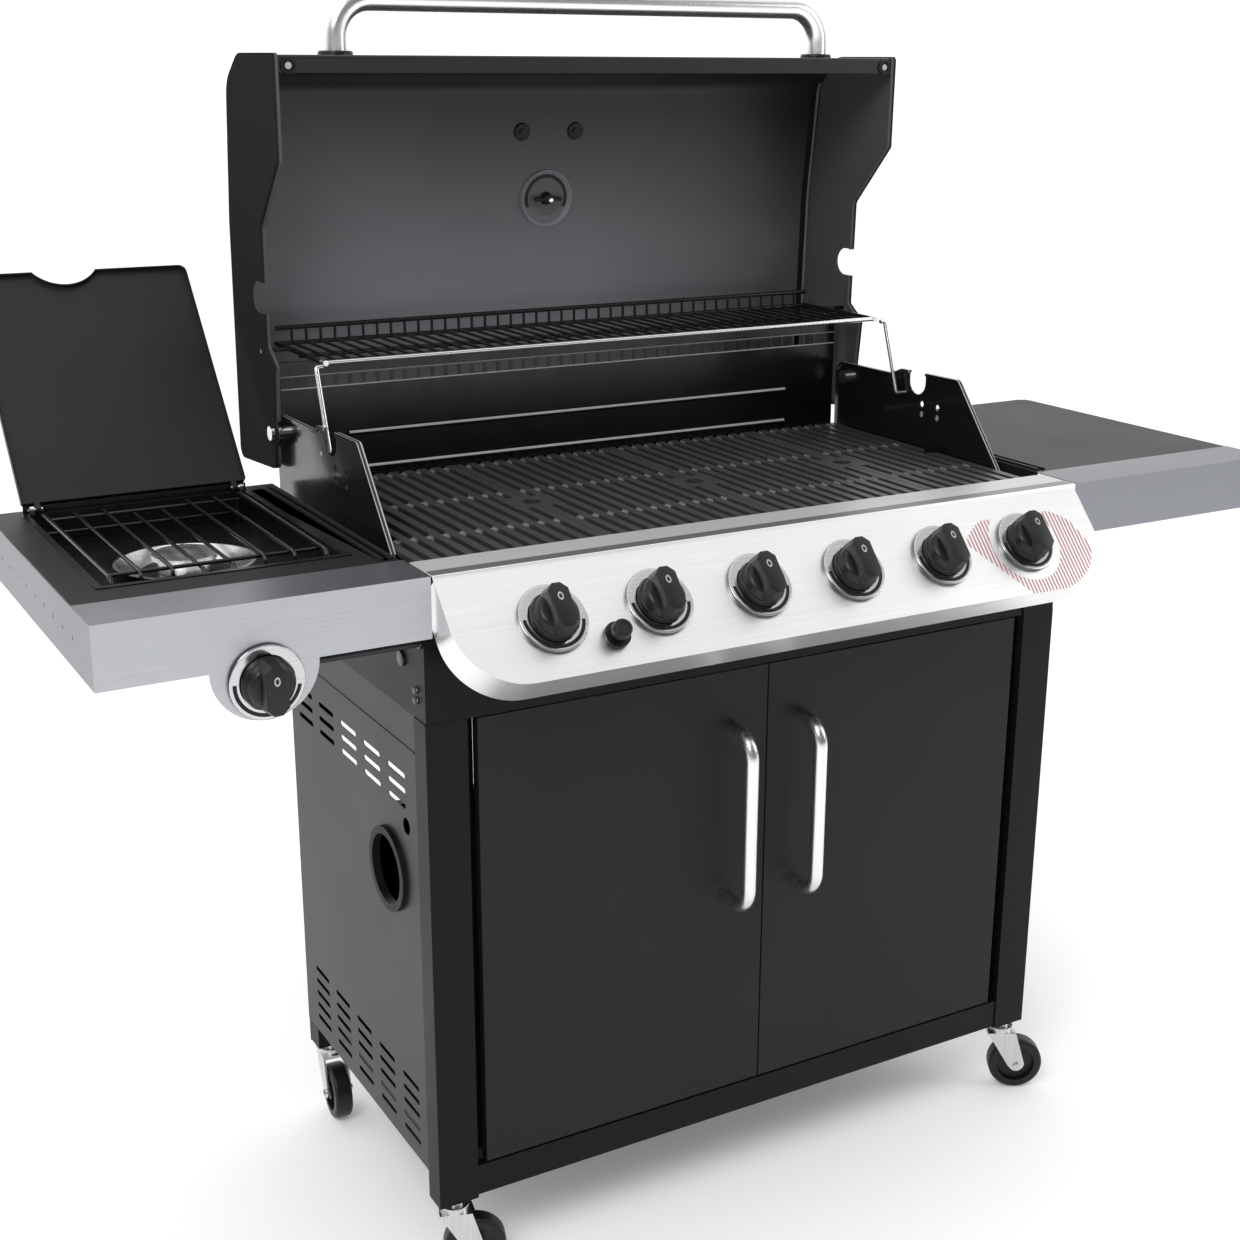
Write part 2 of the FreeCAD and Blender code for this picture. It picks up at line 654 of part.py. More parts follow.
def bezel():
    """A turned ring with a shallow well for the knob's skirt."""
    disc = Part.makeCylinder(BEZEL_R, BEZEL_DEEP)
    disc = disc.makeChamfer(1.5, [disc.Edges[0]])
    well = Part.makeCylinder(RECESS_R, BEZEL_DEEP, Z_AXIS * BEZEL_FLOOR)
    return disc.cut(well).cut(rod(Z_AXIS * -1, Z_AXIS * 9, 9))


def knob_bezels():
    return [on_panel(bezel(), x, KNOB_DROP) for x in KNOB_XS] + [on_fascia(bezel())]


def igniter_body():
    """The igniter's collar and barrel, which hold the push button."""
    collar = ring(Z_AXIS * 0, Z_AXIS * 7, 15, 9.6)
    barrel = ring(Z_AXIS * -45, Z_AXIS * 0, 11, 9.6)
    floor = rod(Z_AXIS * -47, Z_AXIS * -45, 11)
    return [on_panel(joined([collar, barrel, floor]), IGNITER_X, IGNITER_DROP)]


def igniter_button():
    shaft = rod(Z_AXIS * -20, Z_AXIS * 19, 9.5)
    cap = rod(Z_AXIS * 17, Z_AXIS * 24, 11)
    return [on_panel(joined([shaft, cap]), IGNITER_X, IGNITER_DROP)]


# ---------- control panel ----------

def panel_outline(inset):
    """The face's outline on the flat: square at the top, round at the bottom."""
    half = PANEL_HALF - inset
    low = -PANEL_DROP + inset
    corners = [Vector(-half, 0, 0), Vector(-half, low, 0), Vector(half, low, 0), Vector(half, 0, 0)]
    radius = PANEL_CORNER - inset
    return rounded_face(corners, [0, radius, radius, 0])


def control_panel():
    t = PANEL_SHEET
    face = panel_outline(0).extrude(Z_AXIS * -t)
    skirt = panel_outline(0).cut(panel_outline(t)).extrude(Z_AXIS * -PANEL_RETURN)
    pan = joined([face, skirt])
    for x in KNOB_XS:
        pan = pan.cut(rod(Vector(x, -KNOB_DROP, -9), Vector(x, -KNOB_DROP, 9), 9.5))
    igniter = Vector(IGNITER_X, -IGNITER_DROP, 0)
    pan = pan.cut(rod(igniter - Z_AXIS * 9, igniter + Z_AXIS * 9, 11.05))
    pan = on_panel(pan, 0, 0)
    bend_front = PANEL_TOP_Y + 3.5
    lean = math.radians(PANEL_LEAN)
    lap_y = PANEL_TOP_Y - 2 * math.sin(lean)
    lap_z = PANEL_TOP_Z - 2 * math.cos(lean)
    ledge = [(LEDGE_BACK, LEDGE_Z), (bend_front, LEDGE_Z), (PANEL_TOP_Y, PANEL_TOP_Z), (lap_y, lap_z),
             (lap_y + t * math.cos(lean), lap_z - t * math.sin(lean)), (bend_front + 0.6, LEDGE_Z - t),
             (LEDGE_BACK - t, LEDGE_Z - t), (LEDGE_BACK - t, LEDGE_Z - 14), (LEDGE_BACK, LEDGE_Z - 14)]
    ledge_bar = side_face(ledge, [0, 2, 0, 0, 0, 1, 0, 0, 0], -PANEL_HALF).extrude(X_AXIS * 2 * PANEL_HALF)
    return [joined([pan, ledge_bar])]


# ---------- side shelves ----------

def shelf_front():
    """The right shelf's steel front: face, top strip, a short return and hems."""
    x = (SHELF_INNER, SHELF_END)
    t = SHEET
    face = block(x, (SHELF_FRONT, SHELF_FRONT + t), (SHELF_BOTTOM, SHELF_TOP))
    strip = block(x, (SHELF_FRONT, STRIP_BACK), (SHELF_TOP - t, SHELF_TOP))
    turn = block((x[1] - t, x[1]), (SHELF_FRONT, 20), (SHELF_BOTTOM, SHELF_TOP))
    hem = block(x, (SHELF_FRONT, SHELF_FRONT + 14), (SHELF_BOTTOM, SHELF_BOTTOM + t))
    return joined([face, strip, turn, hem])


def shelf_side():
    """The right shelf's outer side, with a row of small holes."""
    x = (SHELF_END - SHEET, SHELF_END)
    plate = block(x, (20, SHELF_BACK), (SHELF_BOTTOM, SHELF_TOP - 1.4))
    hem = block((x[1] - 12, x[1]), (20, SHELF_BACK), (SHELF_BOTTOM, SHELF_BOTTOM + SHEET))
    plate = joined([plate, hem])
    holes = [rod(Vector(x[0] - 2, 52 + 42 * i, 848), Vector(x[1] + 2, 52 + 42 * i, 848), 2.6) for i in range(9)]
    return plate.cut(Part.makeCompound(holes))


def side_knob_plate():
    """The half-round plate that carries the side burner's knob below the fascia."""
    centre = Vector(SIDE_KNOB_X, SHELF_FRONT, SHELF_BOTTOM)
    disc = rod(centre, centre + Y_AXIS * SHEET, SIDE_PLATE_R)
    upper = block((SIDE_KNOB_X - 60, SIDE_KNOB_X + 60), (-99, 99), (SHELF_BOTTOM, 999))
    return disc.cut(upper)


def shelf_fascias():
    left = joined([mirrored(shelf_front()), side_knob_plate()])
    knob_middle = Vector(SIDE_KNOB_X, SHELF_FRONT, SIDE_KNOB_Z)
    stem_hole = rod(knob_middle - Y_AXIS * 2, knob_middle + Y_AXIS * 20, 9.5)
    return [left.cut(stem_hole), mirrored(shelf_side()), shelf_front(), shelf_side()]


def shelf_top():
    """The right shelf's black top: a folded plate with two ribs beside the firebox."""
    top = SHELF_TOP - 0.4
    t = 1.2
    corners = [Vector(447, STRIP_BACK, top - t), Vector(793, STRIP_BACK, top - t),
               Vector(793, SHELF_BACK, top - t), Vector(447, SHELF_BACK, top - t)]
    plate = rounded_face(corners, [0, 0, 18, 0]).extrude(Z_AXIS * t)
    inner = block((447, 447 + t), (STRIP_BACK, SHELF_BACK), (822, top))
    rear = block((447, 775), (SHELF_BACK - t, SHELF_BACK), (826, top))
    ribs = [block((x, x + 4), (STRIP_BACK + 8, SHELF_BACK - 20), (top, top + 3)) for x in (452, 463)]
    return joined([plate, inner, rear] + ribs)


def shelf_left_top():
    top = mirrored(shelf_top())
    return [top.cut(block(POCKET_X, POCKET_Y, (800, 999)))]


def side_burner():
    """A pocket in the shelf with a bright bowl, a burner head and its gas tube."""
    t = 1.2
    x, y = POCKET_X, POCKET_Y
    pocket = tray((x[0] + 0.2, x[1] - 0.2), (y[0] + 0.2, y[1] - 0.2), (POCKET_FLOOR, SHELF_TOP), t, (2, 1))
    flange = block((x[0] - 7, x[1] + 7), (y[0] - 7, y[1] + 2), (SHELF_TOP - 0.4, SHELF_TOP + 0.8))
    flange = flange.cut(block((x[0] + t, x[1] - t), (y[0] + t, y[1] - t), (800, 999)))
    centre = Vector(SIDE_KNOB_X, SIDE_BURNER_Y, 0)
    floor = POCKET_FLOOR + t
    hole = rod(centre + Z_AXIS * 800, centre + Z_AXIS * 900, 12)
    bowl = Part.makeCone(50, 78, 12, centre + Z_AXIS * floor)
    bowl = bowl.cut(Part.makeCone(48.8, 76.8, 12, centre + Z_AXIS * (floor + t))).cut(hole)
    head = joined([rod(centre + Z_AXIS * (floor + t), centre + Z_AXIS * (floor + 16), 30),
                   rod(centre + Z_AXIS * (floor + 16), centre + Z_AXIS * (floor + 21), 36)])
    tube = bent_tube([Vector(SIDE_KNOB_X, 28, SIDE_KNOB_Z), Vector(SIDE_KNOB_X, SIDE_BURNER_Y, SIDE_KNOB_Z),
                      Vector(SIDE_KNOB_X, SIDE_BURNER_Y, floor + t)], 30, 9)
    throat = rod(Vector(SIDE_KNOB_X, 27, SIDE_KNOB_Z), Vector(SIDE_KNOB_X, 60, SIDE_KNOB_Z), 7)
    return [joined([pocket, flange]).cut(hole), bowl, head, tube.cut(throat)]


def side_burner_grate():
    """A wire grate on four feet: a frame with five bars from front to back."""
    r = 2.8
    z = SHELF_TOP + 2
    floor = POCKET_FLOOR + 1.2
    x_low, x_high = POCKET_X[0] + 14, POCKET_X[1] - 14
    y_low, y_high = POCKET_Y[0] + 14, POCKET_Y[1] - 16
    wires = []
    for x in (x_low, x_high):
        wires.append(bent_tube([Vector(x, y_low, floor), Vector(x, y_low, z), Vector(x, y_high, z),
                                Vector(x, y_high, floor)], 9, r))
    for y in (y_low + 22, y_high - 22):
        wires.append(rod(Vector(x_low, y, z), Vector(x_high, y, z), r))
    for i in range(5):
        x = x_low + (x_high - x_low) * (i + 1) / 6
        wires.append(rod(Vector(x, y_low + 24, z + 2), Vector(x, y_high - 8, z + 2), r))
    return [joined(wires)]


def side_lid():
    """The side burner's lid: a shallow pan with a finger notch and hinge ears, swung open."""
    t = 1.2
    hinge_y, hinge_z = SIDE_LID_HINGE.y, SIDE_LID_HINGE.z
    x_low, x_high = SIDE_LID_X
    front = hinge_y - SIDE_LID_LONG
    back = hinge_y - 9
    low, high = hinge_z, hinge_z + 8

    def outline(inset):
        corners = [Vector(x_low + inset, back - inset, low), Vector(x_low + inset, front + inset, low),
                   Vector(x_high - inset, front + inset, low), Vector(x_high - inset, back - inset, low)]
        face = rounded_face(corners, [4, 10, 10, 4])
        notch = Part.Face(Part.Wire(Part.makeCircle(48 + inset, Vector(-640, front - 28, low))))
        return face.cut(notch)

    pan = outline(0).extrude(Z_AXIS * (high - low)).cut(outline(t).extrude(Z_AXIS * (high - low - t)))
    ears = []
    for x in (x_low + 14, x_high - 20):
        ear = joined([rod(SIDE_LID_HINGE + X_AXIS * x, SIDE_LID_HINGE + X_AXIS * (x + 6), 4.2),
                      block((x, x + 6), (hinge_y - 12, hinge_y), (hinge_z - 2, hinge_z + 4))])
        ears.append(ear)
    lid = joined([pan] + ears)
    pin = rod(SIDE_LID_HINGE + X_AXIS * (x_low - 9), SIDE_LID_HINGE + X_AXIS * (x_high + 9), 2.5 + RUNNING)
    lid = lid.cut(pin)
    lid.rotate(SIDE_LID_HINGE, X_AXIS, -SIDE_LID_OPEN)
    return [lid]


# ---------- main lid ----------

def lid_outline():
    """A lid end's outline in the open pose, as (y, z) corners with their radii."""
    return [((386, 1399), 6), ((388, 1278), 8), ((463, 1198), 10), ((467, 1053), 6), ((437, 1032), 6),
            ((451, 902), 10), ((591, 892), 14), ((581, 1198), 90), ((561, 1366), 40), ((513, 1399), 40)]


def lid_face(x):
    corners = [corner for corner, radius in lid_outline()]
    radii = [radius for corner, radius in lid_outline()]
    return side_face(corners, radii, x)


def lid_shell():
    """The lid's wrapped sheet: front lip, top, back and a rear lip."""
    face = lid_face(-LID_INNER)
    band = face.makeOffset2D(-LID_END).cut(face.makeOffset2D(-LID_END - LID_SHEET))
    shell = band.extrude(X_AXIS * 2 * LID_INNER)
    shell = shell.cut(block((-500, 500), (300, 500), (800, 1377)))
    shell = shell.cut(block((-500, 500), (300, 562), (800, 1000)))
    hub, axis = gauge_axis()
    up = Vector(0, -axis.z, axis.y)
    holes = [rod(hub - axis * 12, hub + axis * 12, 23.6)]
    for x in (-BADGE_STUD_X, BADGE_STUD_X):
        stud = hub + up * BADGE_UP + X_AXIS * x
        holes.append(rod(stud - axis * 12, stud + axis * 12, 4))
    for x in (-LID_SCREW.x, LID_SCREW.x):
        screw = Vector(x, LID_SCREW.y, LID_SCREW.z)
        holes.append(rod(screw, screw - Y_AXIS * 20, 5.1))
    return [shell.cut(Part.makeCompound(holes))]


def lid_end():
    """The right end cap: a cast plate with a rim all round and a spit notch."""
    plate = lid_face(LID_INNER).extrude(X_AXIS * LID_END)
    rim_face = lid_face(LID_RIM)
    rim = rim_face.cut(rim_face.makeOffset2D(-LID_END)).extrude(X_AXIS * (LID_INNER + LID_END - LID_RIM))
    rim = rim.cut(rod(LID_HINGE + X_AXIS * LID_RIM, LID_HINGE + X_AXIS * LID_INNER, HINGE_EAR_R))
    ear = rod(LID_HINGE + X_AXIS * LID_INNER, LID_HINGE + X_AXIS * (LID_INNER + LID_END), HINGE_EAR_R)
    cap = joined([plate, rim, ear])
    notch_z = LID_HINGE.z + LID_HINGE.y - SPIT_Y
    low, high = LID_RIM - 3, LID_INNER + LID_END + 3
    notch = rod(Vector(low, 485, notch_z), Vector(high, 485, notch_z), 19)
    notch = notch.fuse(block((low, high), (430, 485), (notch_z - 19, notch_z + 19)))
    cap = cap.cut(notch)
    for point, radius in ((LID_HINGE, LID_PIN_R + RUNNING), (RACK_PIVOT, WIRE_R + RUNNING)):
        cap = cap.cut(rod(point + X_AXIS * low, point + X_AXIS * high, radius))
    return cap.removeSplitter()


def lid_top_z():
    """Height of the lid shell's outer face where the handle stands."""
    return 1399 - LID_END


def lid_handle():
    foot = lid_top_z()
    points = [Vector(x, LID_HANDLE_Y, z) for x, z in ((-LID_HANDLE_X, foot), (-LID_HANDLE_X, LID_HANDLE_Z),
                                                      (LID_HANDLE_X, LID_HANDLE_Z), (LID_HANDLE_X, foot))]
    return [bent_tube(points, 44, LID_HANDLE_R)]


def gauge_axis():
    """A point on the shell at the gauge, and the direction out of the lid's back."""
    lean = math.radians(GAUGE_LEAN)
    return Vector(0, 578.2, GAUGE_Z), Vector(0, math.cos(lean), math.sin(lean))


def lid_fittings():
    """Handle collars, corner screws and a blank badge."""
    foot = lid_top_z()
    collar = ring(Vector(LID_HANDLE_X, LID_HANDLE_Y, foot), Vector(LID_HANDLE_X, LID_HANDLE_Y, foot + 14), 21,
                  LID_HANDLE_R)
    pieces = both_sides(collar)
    hub, axis = gauge_axis()
    up = Vector(0, -axis.z, axis.y)
    plate = Part.makeBox(112, 3, 30, Vector(-56, 0, -15))
    for x in (-BADGE_STUD_X, BADGE_STUD_X):
        plate = plate.fuse(rod(Vector(x, -4, 0), Vector(x, 0, 0), 3))
    plate.rotate(Vector(0, 0, 0), X_AXIS, GAUGE_LEAN)
    plate.translate(hub + up * BADGE_UP + axis * 0.6)
    pieces.append(plate)
    neck = LID_SCREW - Y_AXIS * 12.2
    pieces += both_sides(joined([rod(LID_SCREW, neck, 5), rod(neck, neck - Y_AXIS * 2, 7)]))
    return pieces


def thermometer_case():
    """The gauge: a dial case outside, a stud with a washer and a wing nut inside."""
    hub, axis = gauge_axis()

    def at(offset):
        return hub + axis * offset

    case = rod(at(0.4), at(15), 34).cut(rod(at(5), at(16), 31))
    post = rod(at(4), at(10.5), 1.5)
    body = rod(at(-4), at(1), 23)
    stud = rod(at(-30), at(-3), 4)
    washer = rod(at(-8), at(-5), 14)
    wings = Part.makeBox(30, 5, 8, Vector(-15, -2.5, -4))
    wings.rotate(Vector(0, 0, 0), X_AXIS, GAUGE_LEAN)
    wings.translate(at(-18))
    nut = rod(at(-21), at(-12), 7)
    return [joined([case, post, body, stud, washer, wings, nut])]


def thermometer_pointer():
    """A flat needle with a hub, pointing to the coldest mark."""
    hub, axis = gauge_axis()
    boss = rod(Vector(0, 0, 0), Y_AXIS * 2, 4)
    needle = rounded_face([Vector(-2, 0.5, -8), Vector(2, 0.5, -8), Vector(0.5, 0.5, 26), Vector(-0.5, 0.5, 26)],
                          [0] * 4).extrude(Y_AXIS)
    pointer = joined([boss, needle]).cut(rod(Y_AXIS * -1, Y_AXIS * 3, 1.5 + RUNNING))
    pointer.rotate(Vector(0, 0, 0), Y_AXIS, -45)
    pointer.rotate(Vector(0, 0, 0), X_AXIS, GAUGE_LEAN)
    pointer.translate(hub + axis * 7)
    return [pointer]


# ---------- warming rack ----------

def warming_rack():
    """A wire shelf with a rear fence and a pivot pin at each end."""
    z = RACK_FRONT.z + 3
    front_y = RACK_FRONT.y + 8
    half = RACK_HALF - 12
    lap = 1.2
    wires = []
    for y, height, radius in ((front_y, z, WIRE_R), (front_y + 86, z - 3.4, WIRE_R), (RACK_BACK, z, WIRE_R),
                              (RACK_BACK, z + 20, WIRE_R)):
        wires.append(rod(Vector(-half - lap, y, height), Vector(half + lap, y, height), radius))
    for x in (-half, half):
        side = math.copysign(1, x)
        wires.append(rod(Vector(x, front_y - WIRE_R - lap, z), Vector(x, RACK_BACK + WIRE_R + lap, z), WIRE_R + 0.4))
        out = side * (LID_INNER + LID_END)
        wires.append(rod(Vector(x - side * lap, RACK_PIVOT.y, RACK_PIVOT.z), Vector(out, RACK_PIVOT.y, RACK_PIVOT.z),
                         WIRE_R))
    count = 42
    for i in range(1, count):
        x = -half + 2 * half * i / count
        back = Vector(x, RACK_BACK, z)
        wires.append(rod(Vector(x, front_y, z), back, THIN_WIRE_R))
        wires.append(rod(back, back + Z_AXIS * 20, THIN_WIRE_R))
    return [joined(wires)]


def warming_rack_leg():
    """The right swing leg: hooked into the firebox side, with an eye beside the rack's front corner."""
    inner = RACK_HALF + 2
    foot = Vector(BOX_HALF + BOX_SIDE, LEG_PIVOT.y, LEG_PIVOT.z)
    low = Vector(inner, LEG_PIVOT.y, LEG_PIVOT.z)
    high = Vector(inner, RACK_FRONT.y, RACK_FRONT.z)
    hook = high - X_AXIS * 8
    return bent_tube([foot, low, high, hook], 4, WIRE_R)


# ---------- fasteners ----------

def fasteners():
    """Lid hinge bolts, side lid pin brackets, door pins and firebox bolts."""
    def at(point, x):
        return Vector(x, point.y, point.z)
    hinge = LID_HINGE
    bolt = joined([rod(at(hinge, BOX_HALF - 9), at(hinge, BOX_HALF), 10),
                   rod(at(hinge, BOX_HALF), at(hinge, LID_INNER + 8), LID_PIN_R),
                   rod(at(hinge, BOX_HALF + BOX_SIDE), at(hinge, LID_INNER - 0.3), 9),
                   rod(at(hinge, LID_INNER + LID_END + 0.3), at(hinge, LID_INNER + 8), 9)])
    pieces = both_sides(bolt)
    for z_low, z_high in ((SHELF_FLOOR + 8, SHELF_FLOOR + 16), (DOOR_TOP - 6, CART_TOP - 2)):
        pieces += both_sides(rod(Vector(DOOR_PIN_X, DOOR_PIN_Y, z_low), Vector(DOOR_PIN_X, DOOR_PIN_Y, z_high),
                                 DOOR_PIN_R))
    for y in (90, 400):
        pieces += both_sides(rod(Vector(BOX_HALF + BOX_SIDE, y, 790), Vector(CART_HALF - 2 * SHEET, y, 790), 5))
    x_low, x_high = SIDE_LID_X
    pivot = SIDE_LID_HINGE
    for x in (x_low + 7, x_high - 12):
        bracket = block((x, x + 5), (pivot.y - 4.4, pivot.y + 6), (SHELF_TOP + 0.8, pivot.z))
        bracket = joined([bracket, rod(at(pivot, x), at(pivot, x + 5), 4.4)])
        pin_start = x if x < -600 else x - 10
        bracket = bracket.fuse(rod(at(pivot, pin_start), at(pivot, pin_start + 15), 2.5))
        pieces.append(bracket)
    return pieces


# ---------- writing the sub-parts ----------

def all_nodes():
    """Every sub-part's solids, by name."""
    nodes = {
        "cart_legs": cart_legs(), "cart_rails": cart_rails() + tray_runners(),
        "side_panel_left": side_panel_left(), "side_panel_right": side_panel_right(),
        "hose_grommet": hose_grommet(), "rear_panel": rear_panel(), "bottom_shelf": bottom_shelf(),
        "door_right": [door()], "door_left": [mirrored(door())],
        "door_handle_right": [door_handle()], "door_handle_left": [mirrored(door_handle())],
        "firebox_tub": firebox_tub(), "firebox_sides": both_sides(firebox_side()),
        "firebox_rear_baffle": firebox_rear_baffle(), "main_burners": main_burners(),
        "heat_tents": heat_tents(), "cooking_grates": cooking_grates(), "grease_tray": grease_tray(),
        "gas_manifold": gas_manifold(), "control_panel": control_panel(), "knob_bezels": knob_bezels(),
        "igniter_body": igniter_body(), "igniter_button": igniter_button(),
        "shelf_fascias": shelf_fascias(), "shelf_left_top": shelf_left_top(), "shelf_right_top": [shelf_top()],
        "side_burner": side_burner(), "side_burner_grate": side_burner_grate(), "side_lid": side_lid(),
        "lid_shell": lid_shell(), "lid_ends": both_sides(lid_end()), "lid_handle": lid_handle(),
        "lid_fittings": lid_fittings(), "thermometer_case": thermometer_case(),
        "thermometer_pointer": thermometer_pointer(), "warming_rack": warming_rack(),
        "warming_rack_legs": both_sides(warming_rack_leg()), "fasteners": fasteners(),
    }
    for i, x in enumerate(KNOB_XS):
        nodes[f"knob_{i + 1}"] = [on_panel(knob(), x, KNOB_DROP)]
        nodes[f"valve_stem_{i + 1}"] = [on_panel(valve_stem(), x, KNOB_DROP)]
    nodes["side_knob"] = [on_fascia(knob())]
    nodes["side_valve_stem"] = [on_fascia(valve_stem())]
    for corner in TRAIL_ANGLES:
        nodes[f"caster_fork_{corner}"] = [at_corner(caster_fork(), corner)]
        nodes[f"caster_wheel_{corner}"] = [at_corner(caster_wheel(), corner)]
    return nodes


def main():
    os.makedirs("parts", exist_ok=True)
    overall = FreeCAD.BoundBox()
    for name, solids in all_nodes().items():
        solids = [solid for shape in solids for solid in shape.Solids]
        shape = Part.makeCompound(solids)
        shape.translate(Vector(0, -ORIGIN_Y, 0))
        shape.exportStep(f"parts/{name}.step")
        overall.add(shape.BoundBox)
    print(f"X {overall.XMin:.1f} to {overall.XMax:.1f}")
    print(f"Y {overall.YMin:.1f} to {overall.YMax:.1f}")
    print(f"Z {overall.ZMin:.1f} to {overall.ZMax:.1f}")


main()
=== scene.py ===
import json
import math

import bpy
from mathutils import Matrix, Vector


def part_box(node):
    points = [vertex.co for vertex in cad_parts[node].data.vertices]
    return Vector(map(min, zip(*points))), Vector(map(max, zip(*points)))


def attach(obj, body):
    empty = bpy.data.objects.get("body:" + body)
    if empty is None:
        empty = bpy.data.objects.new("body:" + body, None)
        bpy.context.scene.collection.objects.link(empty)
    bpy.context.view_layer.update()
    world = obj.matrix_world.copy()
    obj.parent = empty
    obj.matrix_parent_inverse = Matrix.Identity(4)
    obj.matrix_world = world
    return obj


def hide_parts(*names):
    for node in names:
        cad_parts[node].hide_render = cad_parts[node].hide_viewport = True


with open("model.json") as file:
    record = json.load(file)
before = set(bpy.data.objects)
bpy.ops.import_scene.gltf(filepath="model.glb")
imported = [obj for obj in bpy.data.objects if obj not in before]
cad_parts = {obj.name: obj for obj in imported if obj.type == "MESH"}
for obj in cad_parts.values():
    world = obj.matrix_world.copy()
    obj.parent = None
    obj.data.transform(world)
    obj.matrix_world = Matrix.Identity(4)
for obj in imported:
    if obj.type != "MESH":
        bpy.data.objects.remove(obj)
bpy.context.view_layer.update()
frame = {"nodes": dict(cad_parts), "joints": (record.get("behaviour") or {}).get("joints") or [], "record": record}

MM = 0.001
SIDES = ("left", "right")
CORNERS = ("front_left", "front_right", "rear_left", "rear_right")
JOINTS = {joint["name"]: joint for joint in frame["joints"]}
SLOTS = {row["node"]: row["material_slot"] for row in frame["record"]["subparts"]}
BODIES = {node: body for body, nodes in frame["record"]["behaviour"]["bodies"].items() for node in nodes}


# ---------- camera, floor and light ----------

def add_camera():
    """A camera at head height, to the left of the grill, looking slightly down."""
    yaw = math.radians(30)
    pitch = math.radians(17.16)
    roll = math.radians(0.31)
    ahead = Vector((math.sin(yaw) * math.cos(pitch), math.cos(yaw) * math.cos(pitch), -math.sin(pitch)))
    level = Vector((math.cos(yaw), -math.sin(yaw), 0))
    above = level.cross(ahead)
    right = math.cos(roll) * level + math.sin(roll) * above
    up = right.cross(ahead)
    lens = bpy.data.cameras.new("camera")
    lens.lens = 52.05
    lens.shift_x = -0.0142
    lens.shift_y = -0.0055
    lens.clip_end = 100
    camera = bpy.data.objects.new("camera", lens)
    bpy.context.scene.collection.objects.link(camera)
    turn = Matrix((right, up, -ahead)).transposed().to_4x4()
    camera.matrix_world = Matrix.Translation((-1.1505, -1.9471, 1.3935)) @ turn
    bpy.context.scene.camera = camera


def add_softbox(name, place, target, size, power):
    """A square area light at a place, facing a target."""
    lamp = bpy.data.lights.new(name, "AREA")
    lamp.shape = "SQUARE"
    lamp.size = size
    lamp.energy = power
    box = bpy.data.objects.new(name, lamp)
    bpy.context.scene.collection.objects.link(box)
    place = Vector(place)
    turn = (place - Vector(target)).to_track_quat("Z", "Y").to_matrix().to_4x4()
    box.matrix_world = Matrix.Translation(place) @ turn


def add_floor():
    """A wide pale floor just under the casters."""
    bpy.ops.object.select_all(action="DESELECT")
    bpy.ops.mesh.primitive_plane_add(size=60, location=(0, 0, -0.0005))
    floor = bpy.context.object
    floor.name = "floor"
    floor.data.materials.append(floor_paint())


def add_light():
    world = bpy.data.worlds.new("studio")
    world.use_nodes = True
    bpy.context.scene.world = world
    graph = Graph(world.node_tree)
    way = graph.node("ShaderNodeTexCoord", out=0)
    x, y, z = graph.axes(way)
    glow = (y * 1.3 + z * 1.15 + 0.50).limited(0.20, 1.18)
    seen = graph.node("ShaderNodeLightPath", out=0)
    glow = glow * (1 - seen) + seen * 1.18
    graph.feed(world.node_tree.nodes["Background"].inputs["Strength"], glow)
    world.node_tree.nodes["Background"].inputs["Color"].default_value = (1, 1, 1, 1)
    bpy.context.scene.view_settings.view_transform = "Standard"
    add_softbox("key_light", (-2.4, -2.2, 3.4), (0, 0, 0.6), 1.6, 60)
    add_softbox("fill_light", (3.0, -2.0, 2.2), (0, 0, 0.8), 1.6, 22)


# ---------- shader expressions ----------

class Wire:
    """A shader value whose arithmetic adds Math nodes."""

    def __init__(self, finish, socket):
        self.finish = finish
        self.socket = socket

    def math(self, operation, *values):
        sockets = dict(enumerate(values))
        return self.finish.node("ShaderNodeMath", {"operation": operation}, sockets)

    def __add__(self, other):
        return self.math("ADD", self, other)

    def limited(self, low, high):
        return self.math("MINIMUM", self.math("MAXIMUM", self, low), high)

    def __sub__(self, other):
        return self.math("SUBTRACT", self, other)

    def __rsub__(self, other):
        return self.math("SUBTRACT", other, self)

    def __mul__(self, other):
        return self.math("MULTIPLY", self, other)

    def __truediv__(self, other):
        return self.math("DIVIDE", self, other)

    def __gt__(self, other):
        return self.math("GREATER_THAN", self, other)

    def __lt__(self, other):
        return self.math("LESS_THAN", self, other)

    def __abs__(self):
        return self.math("ABSOLUTE", self)

    def __mod__(self, other):
        return self.math("FLOORED_MODULO", self, other)

    def __pow__(self, other):
        return self.math("POWER", self, other)

    __radd__ = __add__
    __rmul__ = __mul__


class Graph:
    """A node tree under construction."""

    def __init__(self, tree):
        self.tree = tree

    def node(self, kind, settings=None, sockets=None, out=0):
        """Adds a node: its settings first, then the values or links of its sockets."""
        node = self.tree.nodes.new(kind)
        for key, value in (settings or {}).items():
            if key == "stops":
                self.set_ramp(node.color_ramp, value)
            else:
                setattr(node, key, value)
        for key, value in (sockets or {}).items():
            self.feed(node.inputs[key], value)
        return Wire(self, node.outputs[out])

    def set_ramp(self, ramp, stops):
        while len(ramp.elements) < len(stops):
            ramp.elements.new(0.5)
        for element, (position, shade) in zip(ramp.elements, stops):
            element.position = position
            element.color = (shade, shade, shade, 1)

    def feed(self, socket, value):
        if isinstance(value, Wire):
            self.tree.links.new(value.socket, socket)
        else:
            socket.default_value = value

    def axes(self, spot):
        """The three coordinates of a place."""
        return [self.node("ShaderNodeSeparateXYZ", None, {0: spot}, out=i) for i in range(3)]


